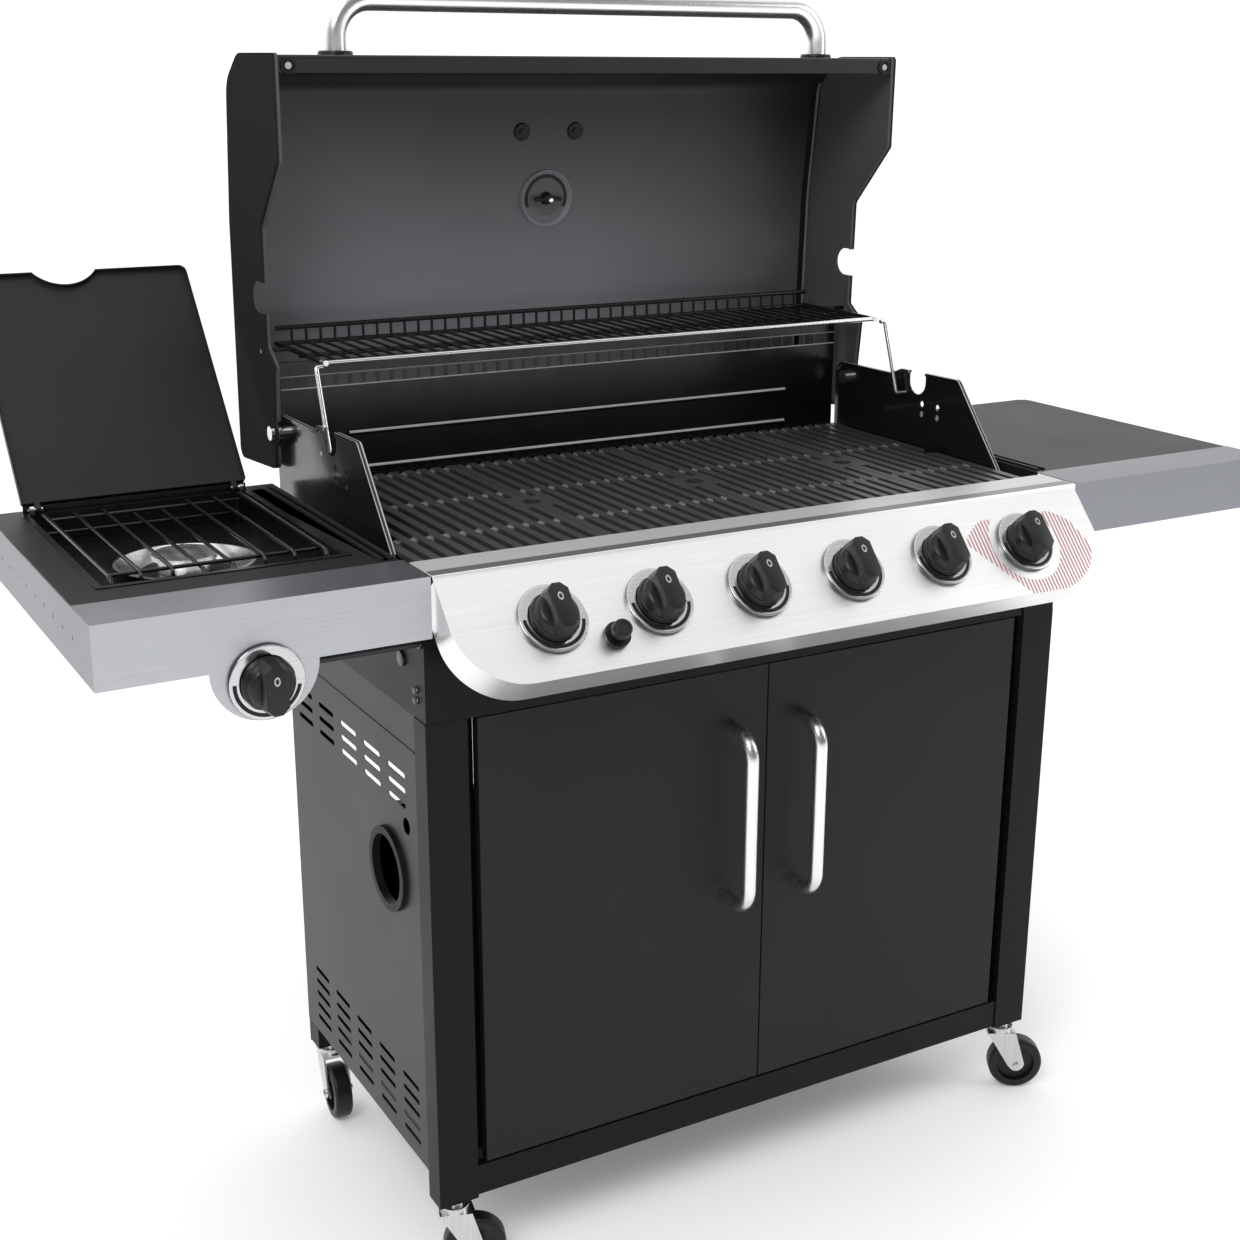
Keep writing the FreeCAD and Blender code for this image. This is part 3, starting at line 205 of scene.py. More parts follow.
class Finish(Graph):
    """A material under construction, ending in one Principled shader."""

    def __init__(self, name):
        self.material = bpy.data.materials.new(name)
        self.material.use_nodes = True
        super().__init__(self.material.node_tree)
        self.shader = self.tree.nodes["Principled BSDF"]

    def set(self, **values):
        """Sets or links the shader's own sockets, named with underscores."""
        for key, value in values.items():
            self.feed(self.shader.inputs[key.replace("_", " ").title().replace("Ior", "IOR")], value)
        return self

    def place(self, centre=(0, 0, 0), turn=(0, 0, 0), scale=(1, 1, 1)):
        """Object coordinates about a centre, turned and scaled."""
        spot = self.node("ShaderNodeTexCoord", out=3)
        return self.node("ShaderNodeMapping", {"vector_type": "TEXTURE"},
                         {"Vector": spot, "Location": centre, "Rotation": turn,
                          "Scale": tuple(1 / s for s in scale)})

    def noise(self, spot, scale, detail=2.0, roughness=0.5):
        return self.node("ShaderNodeTexNoise", None,
                         {"Vector": spot, "Scale": scale, "Detail": detail, "Roughness": roughness})

    def ramp(self, value, stops):
        return self.node("ShaderNodeValToRGB", {"stops": stops}, {"Fac": value})

    def blend(self, factor, first, second):
        """A colour between two colours."""
        return self.node("ShaderNodeMix", {"data_type": "RGBA"}, {0: factor, 6: first, 7: second}, out=2)

    def dent(self, height, strength, distance):
        return self.node("ShaderNodeBump", None,
                         {"Height": height, "Strength": strength, "Distance": distance})


def tint(shade):
    return (*shade, 1)


def scaled(shade, factor):
    return tuple(min(1.0, part * factor) for part in shade)


# ---------- finishes ----------

def seat(joint):
    """Axes at a turning joint: Z along it, X level and Y up the face."""
    row = JOINTS[joint]
    out = Vector(row["axis"]).normalized()
    level = Vector((1, 0, 0))
    turn = Matrix((level, out.cross(level), out)).transposed().to_4x4()
    return Matrix.Translation(Vector(row["pos_m"])) @ turn


def painted(name, shade, rough, peel=0.25, grain=900, coat=0.0, mottle=0.12, gloss=0.3):
    """Powder coat or enamel: fine orange peel, faint mottling and dust."""
    finish = Finish(name)
    spot = finish.place()
    fine = finish.noise(spot, grain, 2)
    broad = finish.noise(spot, 7, 4)
    colour = finish.blend(finish.ramp(broad, ((0.3, 0), (0.7, 1))),
                          tint(scaled(shade, 1 - mottle)), tint(scaled(shade, 1 + mottle)))
    finish.set(base_color=colour, roughness=broad * 0.12 + (rough - 0.06), coat_weight=coat,
               coat_roughness=0.06, normal=finish.dent(fine, peel, 0.0004), specular_ior_level=gloss)
    return finish.material


def brushed(name, shade, rough, stretch, turn=(0, 0, 0), line=0.16, depth=0.10):
    """Brushed metal: long fine lines along the axis whose stretch is small."""
    finish = Finish(name)
    spot = finish.place(turn=turn, scale=stretch)
    lines = finish.noise(spot, 1.0, 3, 0.65)
    cloud = finish.noise(finish.place(), 3.5, 3)
    mask = finish.ramp(lines, ((0.25, 0), (0.75, 1)))
    colour = finish.blend(mask, tint(scaled(shade, 1 - line)), tint(scaled(shade, 1 + line * 0.5)))
    finish.set(base_color=colour, metallic=1.0, roughness=lines * 0.16 + cloud * 0.1 + (rough - 0.13),
               normal=finish.dent(lines, depth, 0.0003))
    return finish.material


def lid_paint():
    """Charcoal lid enamel with painted light on its inner face: dark up under the lip, paler low down, and fading
    towards the right.
    """
    finish = Finish("lid_charcoal")
    spot = finish.place()
    fine = finish.noise(spot, 900, 2)
    broad = finish.noise(spot, 5, 4)
    x, y, z = finish.axes(spot)
    low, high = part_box("lid_shell")
    # Painted light on the lid's inner face: none in the top 40 mm (68 mm on the right), growing to full over the
    # next 270 mm.
    middle = ((x + 0.30) / 0.20).limited(0, 1) * 28 * MM
    deep = ((high.z - 40 * MM - middle - z) / (270 * MM)).limited(0, 1)
    right = 1 - ((x - 0.06) / 0.26).limited(0, 1) * 0.5
    facing = finish.node("ShaderNodeSeparateXYZ", None, {0: finish.node("ShaderNodeNewGeometry", out=1)}, out=1)
    inside = (facing < -0.4) * (z < high.z - 30 * MM)
    # pale is the painted light, only on faces that face the front; right halves it towards the right end.
    pale = inside * (deep * 0.98 + 0.02) * (broad * 0.25 + 0.85) * right
    colour = finish.blend(pale.limited(0, 1), (0.013, 0.0145, 0.015, 1), (0.205, 0.214, 0.230, 1))
    finish.set(base_color=colour, roughness=broad * 0.12 + 0.32, normal=finish.dent(fine, 0.12, 0.0004),
               specular_ior_level=0.35)
    return finish.material


def lid_end_paint():
    """Dull charcoal enamel for the lid's ends, with painted light on their inner faces."""
    finish = Finish("lid_end_charcoal")
    spot = finish.place()
    fine = finish.noise(spot, 900, 2)
    broad = finish.noise(spot, 6, 4)
    x = finish.axes(spot)[0]
    facing = finish.node("ShaderNodeSeparateXYZ", None, {0: finish.node("ShaderNodeNewGeometry", out=1)}, out=0)
    # Painted light: the faces turned in towards the middle are paler.
    inside = (facing * x < 0) * (broad * 0.3 + 0.8)
    colour = finish.blend(inside.limited(0, 1), (0.022, 0.023, 0.024, 1), (0.095, 0.098, 0.104, 1))
    finish.set(base_color=colour, roughness=broad * 0.12 + 0.4, normal=finish.dent(fine, 0.12, 0.0004),
               specular_ior_level=0.0)
    return finish.material


def burner_pocket():
    """Black enamel for the side burner's pocket, with its bowl and head in bright steel."""
    finish = Finish("burner_pocket")
    low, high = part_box("side_burner")
    knob = Vector(JOINTS["side_knob_turn"]["pos_m"])
    centre = Vector((knob.x, high.y - 205 * MM, 0))
    x, y, z = finish.axes(finish.place())
    reach = ((x - knob.x) ** 2 + (y - centre.y) ** 2) ** 0.5
    bright = (reach < 79 * MM) * (z > high.z - 33.6 * MM)
    ripple = finish.noise(finish.place(), 40, 3)
    finish.set(base_color=finish.blend(bright, (0.006, 0.006, 0.007, 1), (0.80, 0.80, 0.80, 1)), metallic=bright,
               roughness=ripple * 0.2 + 0.18, normal=finish.dent(ripple, 0.3, 0.001))
    return finish.material


def baffle_paint():
    """Black enamel with painted highlights along its pressed beads and the folded edges of its row of slots."""
    finish = Finish("baffle_black")
    low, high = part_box("firebox_rear_baffle")
    spot = finish.place()
    x, y, z = finish.axes(spot)
    cloud = finish.noise(spot, 30, 3)
    height = high.z - z
    # Painted highlights: bright lines at the slot row's folded edges and along two beads.
    slots = (abs(height - 19 * MM) < 0.7 * MM) * 0.6 + (abs(height - 34.8 * MM) < 0.8 * MM)
    beads = (abs(x) < 338 * MM) * ((abs(height - 95.6 * MM) < 1.5 * MM) + (abs(height - 141.6 * MM) < 1.5 * MM))
    bright = (slots + beads).limited(0, 1) * (cloud * 0.3 + 0.75)
    finish.set(base_color=finish.blend(bright, (0.004, 0.004, 0.004, 1), (0.50, 0.51, 0.53, 1)),
               roughness=cloud * 0.2 + 0.12 + bright * 0.2, normal=finish.dent(cloud, 0.1, 0.0005))
    return finish.material


def rack_wire():
    """Black wire with a painted highlight: it turns bright and metallic along the rack's front edge."""
    finish = Finish("rack_wire")
    spot = finish.place()
    grain = finish.noise(spot, 300, 2)
    low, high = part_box("warming_rack")
    x, y, z = finish.axes(spot)
    # Painted highlight: the wires within 15 mm of the front edge are bright metal.
    bright = y < low.y + 15 * MM
    finish.set(base_color=finish.blend(bright, (0.006, 0.006, 0.006, 1), (0.85, 0.85, 0.85, 1)), metallic=bright,
               roughness=grain * 0.1 + 0.2, normal=finish.dent(grain, 0.1, 0.0002))
    return finish.material


def dial_face():
    """A pale dial with a ring of fine tick marks round its centre."""
    finish = Finish("dial_white")
    turn = seat("gauge_pointer")
    across, up, out = finish.axes(finish.place(centre=turn.translation, turn=turn.to_euler()))
    angle = finish.node("ShaderNodeMath", {"operation": "ARCTAN2"}, {0: up, 1: across}) * (36 / math.tau)
    reach = (across * across + up * up) ** 0.5
    ring = (reach > 21 * MM) * (reach < 27 * MM)
    tick = (abs(angle % 1.0 - 0.5) < 0.09) * ring
    band = (reach > 28.2 * MM) * (reach < 28.9 * MM)
    cloud = finish.noise(finish.place(), 60, 3)
    paper = finish.blend(cloud, (0.74, 0.74, 0.72, 1), (0.80, 0.80, 0.79, 1))
    finish.set(base_color=finish.blend((tick + band).limited(0, 1), paper, (0.01, 0.01, 0.01, 1)), roughness=0.5)
    return finish.material


def lens_glass():
    finish = Finish("lens_glass")
    smear = finish.noise(finish.place(), 90, 3)
    finish.set(base_color=(0.9, 0.9, 0.9, 1), roughness=smear * 0.08 + 0.02, alpha=0.18, coat_weight=1.0)
    return finish.material


def striped_panel():
    """The control panel's brushed steel with fine red stripes round the last knob, painted shade towards its right
    end, and painted light and shade on its top ledge.
    """
    finish = Finish("panel_striped_steel")
    spot = finish.place(scale=ALONG_X)
    lines = finish.noise(spot, 1.0, 3, 0.65)
    cloud = finish.noise(finish.place(), 3.5, 3)
    steel = finish.blend(finish.ramp(lines, ((0.25, 0), (0.75, 1))), (0.84, 0.84, 0.835, 1), (0.95, 0.95, 0.945, 1))
    x, y, z = finish.axes(finish.place())
    # Painted shade: the steel darkens towards the panel's right end.
    steel = finish.blend(((x - 0.20) / 0.3).limited(0, 1) * 0.24, steel, (0.35, 0.355, 0.36, 1))
    knob = seat("knob_6_turn")
    centre = finish.place(centre=knob.translation, turn=knob.to_euler())
    across, up, out = finish.axes(centre)
    oval = ((across - 2 * MM) / (96 * MM)) ** 2 + ((up + 12 * MM) / (60 * MM)) ** 2
    slant = (across + up * 0.85 > -78 * MM) * (across + up * 0.42 < 92 * MM) * (up < 38 * MM)
    reach = across * across + up * up
    stripe = ((across / (5.2 * MM)) % 1.0) < 0.46
    mask = stripe * (oval < 1.0) * slant * (reach > (51 * MM) ** 2) * (out > -2 * MM)
    colour = finish.blend(mask * 0.85, steel, (0.40, 0.085, 0.12, 1))
    low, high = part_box("control_panel")
    facing = finish.node("ShaderNodeSeparateXYZ", None, {0: finish.node("ShaderNodeNewGeometry", out=1)}, out=2)
    # Painted light and shade on the top ledge: a pale back strip and a thin pale front edge, less metallic, with a
    # dark band of painted shade between them.
    ledge = (facing > 0.9) * (z > high.z - 2 * MM)
    edge = high.y - 63 * MM
    band = ledge * (y < edge + 21 * MM) * (y > edge + 2.5 * MM)
    strip = (ledge - band).limited(0, 1)
    colour = finish.blend(strip, finish.blend(band, colour, (0.20, 0.20, 0.205, 1)), (0.56, 0.56, 0.57, 1))
    finish.set(base_color=colour, metallic=(1.0 - mask * 0.9 - strip * 0.75 - band * 0.6).limited(0, 1),
               roughness=lines * 0.16 + cloud * 0.1 + 0.22, normal=finish.dent(lines, 0.10, 0.0003))
    return finish.material


def fascia_steel():
    """Brushed steel of the shelves' trim, with painted shade on its ends, on its top faces and over the right-hand
    shelf.
    """
    finish = Finish("shelf_steel")
    lines = finish.noise(finish.place(scale=ALONG_X), 1.0, 3, 0.65)
    spot = finish.place()
    cloud = finish.noise(spot, 3.5, 3)
    x = finish.axes(spot)[0]
    normal = finish.node("ShaderNodeNewGeometry", out=1)
    sideways = finish.node("ShaderNodeSeparateXYZ", None, {0: normal}, out=0)
    upward = finish.node("ShaderNodeSeparateXYZ", None, {0: normal}, out=2)
    # Painted shade: the trim darkens on faces that face sideways or up, and on the right-hand shelf.
    fascia_painted_shade = ((abs(sideways) > 0.8) * 0.75 + (upward > 0.8) * 0.3 + (x > 0.4) * 0.6).limited(0, 1)
    mask = finish.ramp(lines, ((0.25, 0), (0.75, 1)))
    steel = finish.blend(mask, (0.41, 0.42, 0.445, 1), (0.50, 0.51, 0.54, 1))
    finish.set(base_color=finish.blend(fascia_painted_shade, steel, (0.17, 0.178, 0.20, 1)), metallic=1.0,
               roughness=lines * 0.16 + cloud * 0.14 + 0.22, normal=finish.dent(lines, 0.1, 0.0003))
    return finish.material


def cast_grate():
    """Enamelled cast iron: satin ribs, painted shade down between them, and painted highlights where the cross
    rails show between the ribs.
    """
    finish = Finish("grate_iron")
    spot = finish.place()
    low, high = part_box("cooking_grates")
    x, y, z = finish.axes(spot)
    grain = finish.noise(spot, 420, 3)
    broad = finish.noise(spot, 9, 4)
    facing = finish.node("ShaderNodeSeparateXYZ", None, {0: finish.node("ShaderNodeNewGeometry", out=1)}, out=2)
    # Painted shade: below 6 mm under the rib tops everything is near black.
    top = (z > high.z - 2.6 * MM) * (facing > 0.3)
    side = (z > high.z - 6 * MM) - top
    depth = y - low.y
    # Painted highlight: the cross rails and the rib sides beside them, in the gaps.
    near = sum((abs(depth - middle * MM) < 7 * MM) for middle in (6, 105, 259, 422))
    rail_highlight = near * (z < high.z - 0.8 * MM) * (z > high.z - 6 * MM)
    shade = top * (broad * 0.03 + 0.040) + side.limited(0, 1) * 0.045 + rail_highlight * 0.20 + 0.003
    colour = finish.blend(shade.limited(0, 1), (0.0, 0.0, 0.0, 1), (0.96, 0.97, 1.0, 1))
    finish.set(base_color=colour, roughness=broad * 0.15 + 0.30, normal=finish.dent(grain, 0.35, 0.0004),
               specular_ior_level=0.55)
    return finish.material


def firebox_paint():
    """Black enamel whose rolled rim has two painted highlights along its edges."""
    finish = Finish("firebox_black")
    spot = finish.place()
    low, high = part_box("firebox_sides")
    x, y, z = finish.axes(spot)
    cloud = finish.noise(spot, 30, 3)
    facing = finish.node("ShaderNodeSeparateXYZ", None, {0: finish.node("ShaderNodeNewGeometry", out=1)}, out=0)
    out = high.x - abs(x)
    # Painted highlights: two bright lines on the rim's sides, near its outer edge and in its top 110 mm.
    lines = (out < 1.1 * MM) + (abs(out - 5.2 * MM) < 0.9 * MM)
    bright = (lines * (abs(facing) < 0.85) * (z > high.z - 110 * MM)).limited(0, 1) * (cloud * 0.4 + 0.6)
    finish.set(base_color=finish.blend(bright, (0.008, 0.008, 0.0085, 1), (0.55, 0.56, 0.58, 1)),
               roughness=cloud * 0.2 + 0.1, normal=finish.dent(cloud, 0.1, 0.0004), coat_weight=0.2,
               coat_roughness=0.06)
    return finish.material


def floor_paint():
    finish = Finish("floor_paint")
    cloud = finish.noise(finish.place(), 0.8, 3)
    finish.set(base_color=finish.blend(cloud, (0.955, 0.955, 0.96, 1), (0.975, 0.975, 0.975, 1)), roughness=0.8)
    finish.set(specular_ior_level=0.0, emission_color=(1, 1, 1, 1), emission_strength=0.14)
    return finish.material


PAINTS = {"control_panel": "panel_striped_steel", "gas_manifold": "pipe_dark", "warming_rack": "rack_wire",
          "side_burner_grate": "wire_black", "lid_ends": "lid_end_charcoal", "side_lid": "side_lid_charcoal",
          "side_burner": "burner_pocket", "firebox_rear_baffle": "baffle_black", "firebox_sides": "firebox_black"}
ALONG_X = (6, 900, 900)
ALONG_Y = (900, 6, 900)
ALONG_Z = (900, 900, 6)

FINISHES = {
    "frame_black": painted("frame_black", (0.0050, 0.0051, 0.0053), 0.40, gloss=0.14),
    "side_panel_grey": painted("side_panel_grey", (0.015, 0.0153, 0.0163), 0.42, gloss=0.34),
    "door_charcoal": painted("door_charcoal", (0.0118, 0.0122, 0.0130), 0.46, gloss=0.2),
    "firebox_black": firebox_paint(),
    "porcelain_black": painted("porcelain_black", (0.0020, 0.0020, 0.0022), 0.10, peel=0.10, grain=260, coat=0.35),
    "lid_charcoal": lid_paint(),
    "lid_end_charcoal": lid_end_paint(),
    "side_lid_charcoal": painted("side_lid_charcoal", (0.0185, 0.0188, 0.0205), 0.42, gloss=0.25),
    "burner_pocket": burner_pocket(),
    "baffle_black": baffle_paint(),
    "panel_steel": brushed("panel_steel", (0.86, 0.86, 0.855), 0.34, ALONG_X),
    "shelf_steel": fascia_steel(),
    "handle_steel": brushed("handle_steel", (0.93, 0.93, 0.93), 0.25, ALONG_X),
    "handle_steel_upright": brushed("handle_steel_upright", (0.80, 0.80, 0.81), 0.25, ALONG_Z),
    "bezel_chrome": brushed("bezel_chrome", (0.56, 0.56, 0.57), 0.15, ALONG_X, depth=0.02),
    # A darker copy of the bezel chrome: painted shade on the bezels' outer sides.
    "bezel_side_shade": brushed("bezel_side_shade", (0.16, 0.16, 0.165), 0.22, ALONG_X, depth=0.02),
    "burner_steel": brushed("burner_steel", (0.62, 0.62, 0.61), 0.28, ALONG_Y),
    "grate_iron": cast_grate(),
    "wire_black": painted("wire_black", (0.006, 0.006, 0.006), 0.24, gloss=0.5),
    "rack_wire": rack_wire(),
    "bright_wire": brushed("bright_wire", (0.80, 0.80, 0.80), 0.20, ALONG_X, depth=0.03),
    "knob_black": painted("knob_black", (0.0065, 0.0067, 0.0074), 0.34, peel=0.18, grain=1400, gloss=0.36),
    "valve_brass": brushed("valve_brass", (0.62, 0.48, 0.26), 0.32, ALONG_Y),
    "pipe_dark": painted("pipe_dark", (0.010, 0.010, 0.011), 0.36, gloss=0.4),
    "grommet_rubber": painted("grommet_rubber", (0.006, 0.006, 0.006), 0.55, gloss=0.25),
    "pointer_red": painted("pointer_red", (0.55, 0.02, 0.015), 0.4),
    "caster_zinc": brushed("caster_zinc", (0.62, 0.63, 0.64), 0.26, ALONG_Z, depth=0.05),
    "caster_tyre": painted("caster_tyre", (0.007, 0.007, 0.0075), 0.42, gloss=0.35),
    "print_black": painted("print_black", (0.008, 0.008, 0.008), 0.5, peel=0.05),
    "panel_striped_steel": striped_panel(),
    "dial_white": dial_face(),
    "lens_glass": lens_glass(),
    "mark_pale": painted("mark_pale", (0.42, 0.43, 0.45), 0.35, peel=0.05),
    "washer_grey": painted("washer_grey", (0.09, 0.092, 0.096), 0.4, peel=0.1),
    "dish_grey": painted("dish_grey", (0.20, 0.205, 0.22), 0.4, peel=0.1),
}


def dress_cad_nodes():
    """Every CAD node takes the finish named by its material slot."""
    for name, slot in SLOTS.items():
        for place in frame["nodes"][name].material_slots:
            place.material = FINISHES[PAINTS.get(name, slot)]


# ---------- modelling by hand ----------

def clear_selection():
    bpy.ops.object.select_all(action="DESELECT")


def hold(piece):
    """Makes one piece the only selected and active object."""
    clear_selection()
    piece.select_set(True)
    bpy.context.view_layer.objects.active = piece


def new_piece(name):
    """Names the primitive just added and sinks its place into its mesh."""
    piece = bpy.context.object
    hold(piece)
    bpy.ops.object.transform_apply(location=True, rotation=True, scale=True)
    piece.name = name
    piece.data.name = name
    return piece


def add_block(name, low, high):
    clear_selection()
    low, high = Vector(low), Vector(high)
    bpy.ops.mesh.primitive_cube_add(size=1, location=(low + high) / 2, scale=high - low)
    return new_piece(name)


def add_rod(name, start, end, radius, sides=32, tip=None):
    """A closed cylinder, or a cone whose tip radius is given, from start to end."""
    clear_selection()
    start, end = Vector(start), Vector(end)
    along = end - start
    bpy.ops.mesh.primitive_cone_add(vertices=sides, radius1=radius, radius2=radius if tip is None else tip,
                                    depth=along.length, location=(start + end) / 2,
                                    rotation=along.to_track_quat("Z", "Y").to_euler())
    return new_piece(name)


def pick(piece, test, kind="FACE"):
    """Enters edit mode with the faces or edges that pass a test of middle and normal (or direction)."""
    hold(piece)
    bpy.ops.object.mode_set(mode="EDIT")
    bpy.ops.mesh.select_mode(type=kind)
    bpy.ops.mesh.select_all(action="DESELECT")
    bpy.ops.object.mode_set(mode="OBJECT")
    mesh = piece.data
    if kind == "FACE":
        for face in mesh.polygons:
            face.select = bool(test(face.center, face.normal))
    else:
        for edge in mesh.edges:
            first, second = (mesh.vertices[i].co for i in edge.vertices)
            edge.select = bool(test((first + second) / 2, (second - first).normalized()))
    bpy.ops.object.mode_set(mode="EDIT")


def put_down():
    bpy.ops.object.mode_set(mode="OBJECT")


def inset(amount):
    bpy.ops.mesh.inset(thickness=amount, use_even_offset=True)


def push(x=0, y=0, z=0):
    """Extrudes the selected faces by a step."""
    bpy.ops.mesh.extrude_region_move(TRANSFORM_OT_translate={"value": (x, y, z)})


def bevel_edges(piece, test, width, segments=3):
    """Rounds the edges that pass a test."""
    pick(piece, test, "EDGE")
    bpy.ops.mesh.bevel(offset=width, segments=segments, clamp_overlap=True)
    put_down()


def soften(piece, width, segments=2, angle=35):
    """Rounds every edge sharper than an angle."""
    hold(piece)
    bevel = piece.modifiers.new("soften", "BEVEL")
    bevel.width = width
    bevel.segments = segments
    bevel.limit_method = "ANGLE"
    bevel.angle_limit = math.radians(angle)
    bevel.miter_outer = "MITER_ARC"
    bpy.ops.object.modifier_apply(modifier=bevel.name)
    return piece


def flatten_shading(piece):
    """Makes the large faces shade flat beside their rounded edges."""
    hold(piece)
    modifier = piece.modifiers.new("flats", "WEIGHTED_NORMAL")
    modifier.keep_sharp = True
    bpy.ops.object.modifier_apply(modifier=modifier.name)


def join(name, pieces):
    """Joins pieces in one object, each keeping its own material slots."""
    clear_selection()
    for piece in pieces:
        piece.select_set(True)
    bpy.context.view_layer.objects.active = pieces[0]
    if len(pieces) > 1:
        bpy.ops.object.join()
    pieces[0].name = name
    pieces[0].data.name = name
    return pieces[0]


def paint_piece(piece, *finishes):
    for finish in finishes:
        piece.data.materials.append(FINISHES[finish])
    return piece


def paint_faces(piece, slot, test):
    """Gives the faces that pass a test another of the piece's materials."""
    for face in piece.data.polygons:
        if test(face.center, face.normal):
            face.material_index = slot


def settle(piece, turn):
    """Moves a piece's mesh from its own axes to its place on the grill."""
    piece.data.transform(turn)
    piece.data.update()
    return piece


def twin(piece, name, turn=Matrix()):
    """A copy with its own mesh, moved by a matrix."""
    copy = piece.copy()
    copy.data = piece.data.copy()
    copy.name = name
    bpy.context.scene.collection.objects.link(copy)
    return settle(copy, turn)


def hand_over(piece, body, slot, *nodes, angle=32):
    """Smooths a finished piece, gives it its body and hides the nodes that it stands for; its slot is not used."""
    hold(piece)
    bpy.ops.object.shade_smooth_by_angle(angle=math.radians(angle))
    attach(piece, body)
    if nodes:
        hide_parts(*nodes)
    return piece


def softened(node, body, width, segments=2, finish=None):
    """A copy of a CAD node with its doubles merged, its flats cleaned and its edges rounded."""
    source = frame["nodes"][node]
    piece = source.copy()
    piece.data = source.data.copy()
    piece.name = node + "_smooth"
    piece.parent = None
    bpy.context.scene.collection.objects.link(piece)
    hold(piece)
    bpy.ops.object.mode_set(mode="EDIT")
    bpy.ops.mesh.select_all(action="SELECT")
    bpy.ops.mesh.remove_doubles(threshold=0.00001)
    bpy.ops.mesh.dissolve_limited(angle_limit=math.radians(1.5))
    bpy.ops.object.mode_set(mode="OBJECT")
    piece.data.materials.clear()
    soften(piece, width, segments)
    slot = SLOTS[node]
    paint_piece(piece, finish or slot)
    hand_over(piece, body, slot, node)
    flatten_shading(piece)
    return piece


add_camera()
add_light()
add_floor()
dress_cad_nodes()

# ---------- knobs and bezels ----------

def model_knob():
    """A satin knob on its own axes: a skirt, a low barrel and a broad bar grip with a pale inlay."""
    skirt = add_rod("skirt", (0, 0, 5.6 * MM), (0, 0, 13 * MM), 28.2 * MM, 64, tip=27.2 * MM)
    bevel_edges(skirt, lambda mid, way: mid.z > 12.9 * MM, 1.5 * MM)
    barrel = add_rod("barrel", (0, 0, 12 * MM), (0, 0, 24 * MM), 26 * MM, 64, tip=22.5 * MM)
    bevel_edges(barrel, lambda mid, way: mid.z > 23.9 * MM, 5 * MM, 5)
    grip = add_block("grip", (-14 * MM, -28 * MM, 12 * MM), (14 * MM, 28 * MM, 36 * MM))
    pick(grip, lambda mid, normal: normal.z > 0.9)
    bpy.ops.transform.resize(value=(0.86, 0.93, 1))
    put_down()
    bevel_edges(grip, lambda mid, way: abs(way.z) > 0.7, 7.5 * MM, 1)
    bevel_edges(grip, lambda mid, way: mid.z > 35.9 * MM, 1.2 * MM)
    mark = add_rod("mark", (0, 0, 34 * MM), (0, 0, 36.2 * MM), 3.2 * MM, 24)
    pick(mark, lambda mid, normal: normal.z > 0.99)
    inset(1.3 * MM)
    push(z=-0.4 * MM)
    put_down()
    for vertex in mark.data.vertices:
        vertex.co.y = vertex.co.y * 1.5 + 10 * MM
    for part in (skirt, barrel, grip):
        paint_piece(part, "knob_black")
    paint_piece(mark, "mark_pale")
    return join("knob_model", [skirt, barrel, grip, mark])


def model_bezel():
    """A turned ring on its own axes, with a printed arc round three quarters of it and painted shade on its outer
    side.
    """
    ring = add_rod("bezel_model", (0, 0, 0), (0, 0, 5 * MM), 39.8 * MM, 96)
    bevel_edges(ring, lambda mid, way: mid.z > 4.9 * MM, 1.4 * MM, 4)
    pick(ring, lambda mid, normal: normal.z > 0.99 and mid.xy.length < MM)
    for width in (1.9, 0.5, 4.2, 0.5, 2.1):
        inset(width * MM)
    push(z=-3.6 * MM)
    inset(12 * MM)
    put_down()
    paint_piece(ring, "bezel_chrome", "print_black", "bezel_side_shade")

    def printed(mid, normal):
        reach = mid.xy.length
        angle = math.degrees(math.atan2(mid.y, mid.x)) % 360
        return normal.z > 0.9 and 32 * MM < reach < 35.9 * MM and 178 < angle < 350

    paint_faces(ring, 1, printed)
    # Painted shade: the outer side faces take the darker chrome.
    paint_faces(ring, 2, lambda mid, normal: normal.z < 0.6 and mid.xy.length > 35 * MM)
    return ring


def make_knobs():
    """The six burner knobs and the side burner's knob, each over its own bezel."""
    knob = model_knob()
    bezel = model_bezel()
    bezels = []
    for name in [f"knob_{i}" for i in range(1, 7)] + ["side_knob"]:
        turn = seat(name + "_turn")
        copy = twin(knob, name + "_grip", turn)
        hand_over(copy, name, "knob_black", name)
        bezels.append(twin(bezel, name + "_bezel", turn))
    hand_over(join("bezel_rings", bezels), "root", "bezel_chrome", "knob_bezels")
    for piece in (knob, bezel):
        bpy.data.objects.remove(piece)


def make_igniter():
    """A black push button: a cap with a shallow dimple, stepped out from its shaft."""
    low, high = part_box("igniter_button")
    turn = seat("knob_2_turn")
    out = turn.to_3x3().col[2]
    face = (low + high) / 2
    face -= out * (face - turn.translation).dot(out)
    place = turn.copy()
    place.translation = face
    cap = add_rod("cap", (0, 0, 14 * MM), (0, 0, 24 * MM), 11 * MM, 48, tip=10.4 * MM)
    bevel_edges(cap, lambda mid, way: mid.z > 23.9 * MM, 1.5 * MM)
    pick(cap, lambda mid, normal: normal.z > 0.99 and mid.xy.length < MM)
    inset(2 * MM)
    push(z=-0.8 * MM)
    put_down()
    shaft = add_rod("shaft", (0, 0, -20 * MM), (0, 0, 15 * MM), 9.5 * MM, 48)
    button = join("igniter_push_button", [cap, shaft])
    paint_piece(button, "knob_black")
    settle(button, place)
    hand_over(button, "igniter_button", SLOTS["igniter_button"], "igniter_button")


# ---------- gauge and lid fittings ----------

def lid_seat(x=0, y=0):
    """Axes on the lid's outer face: Z points into the lid, Y up it, from the gauge's middle."""
    return seat("gauge_pointer") @ Matrix.Translation((x * MM, y * MM, 7 * MM))


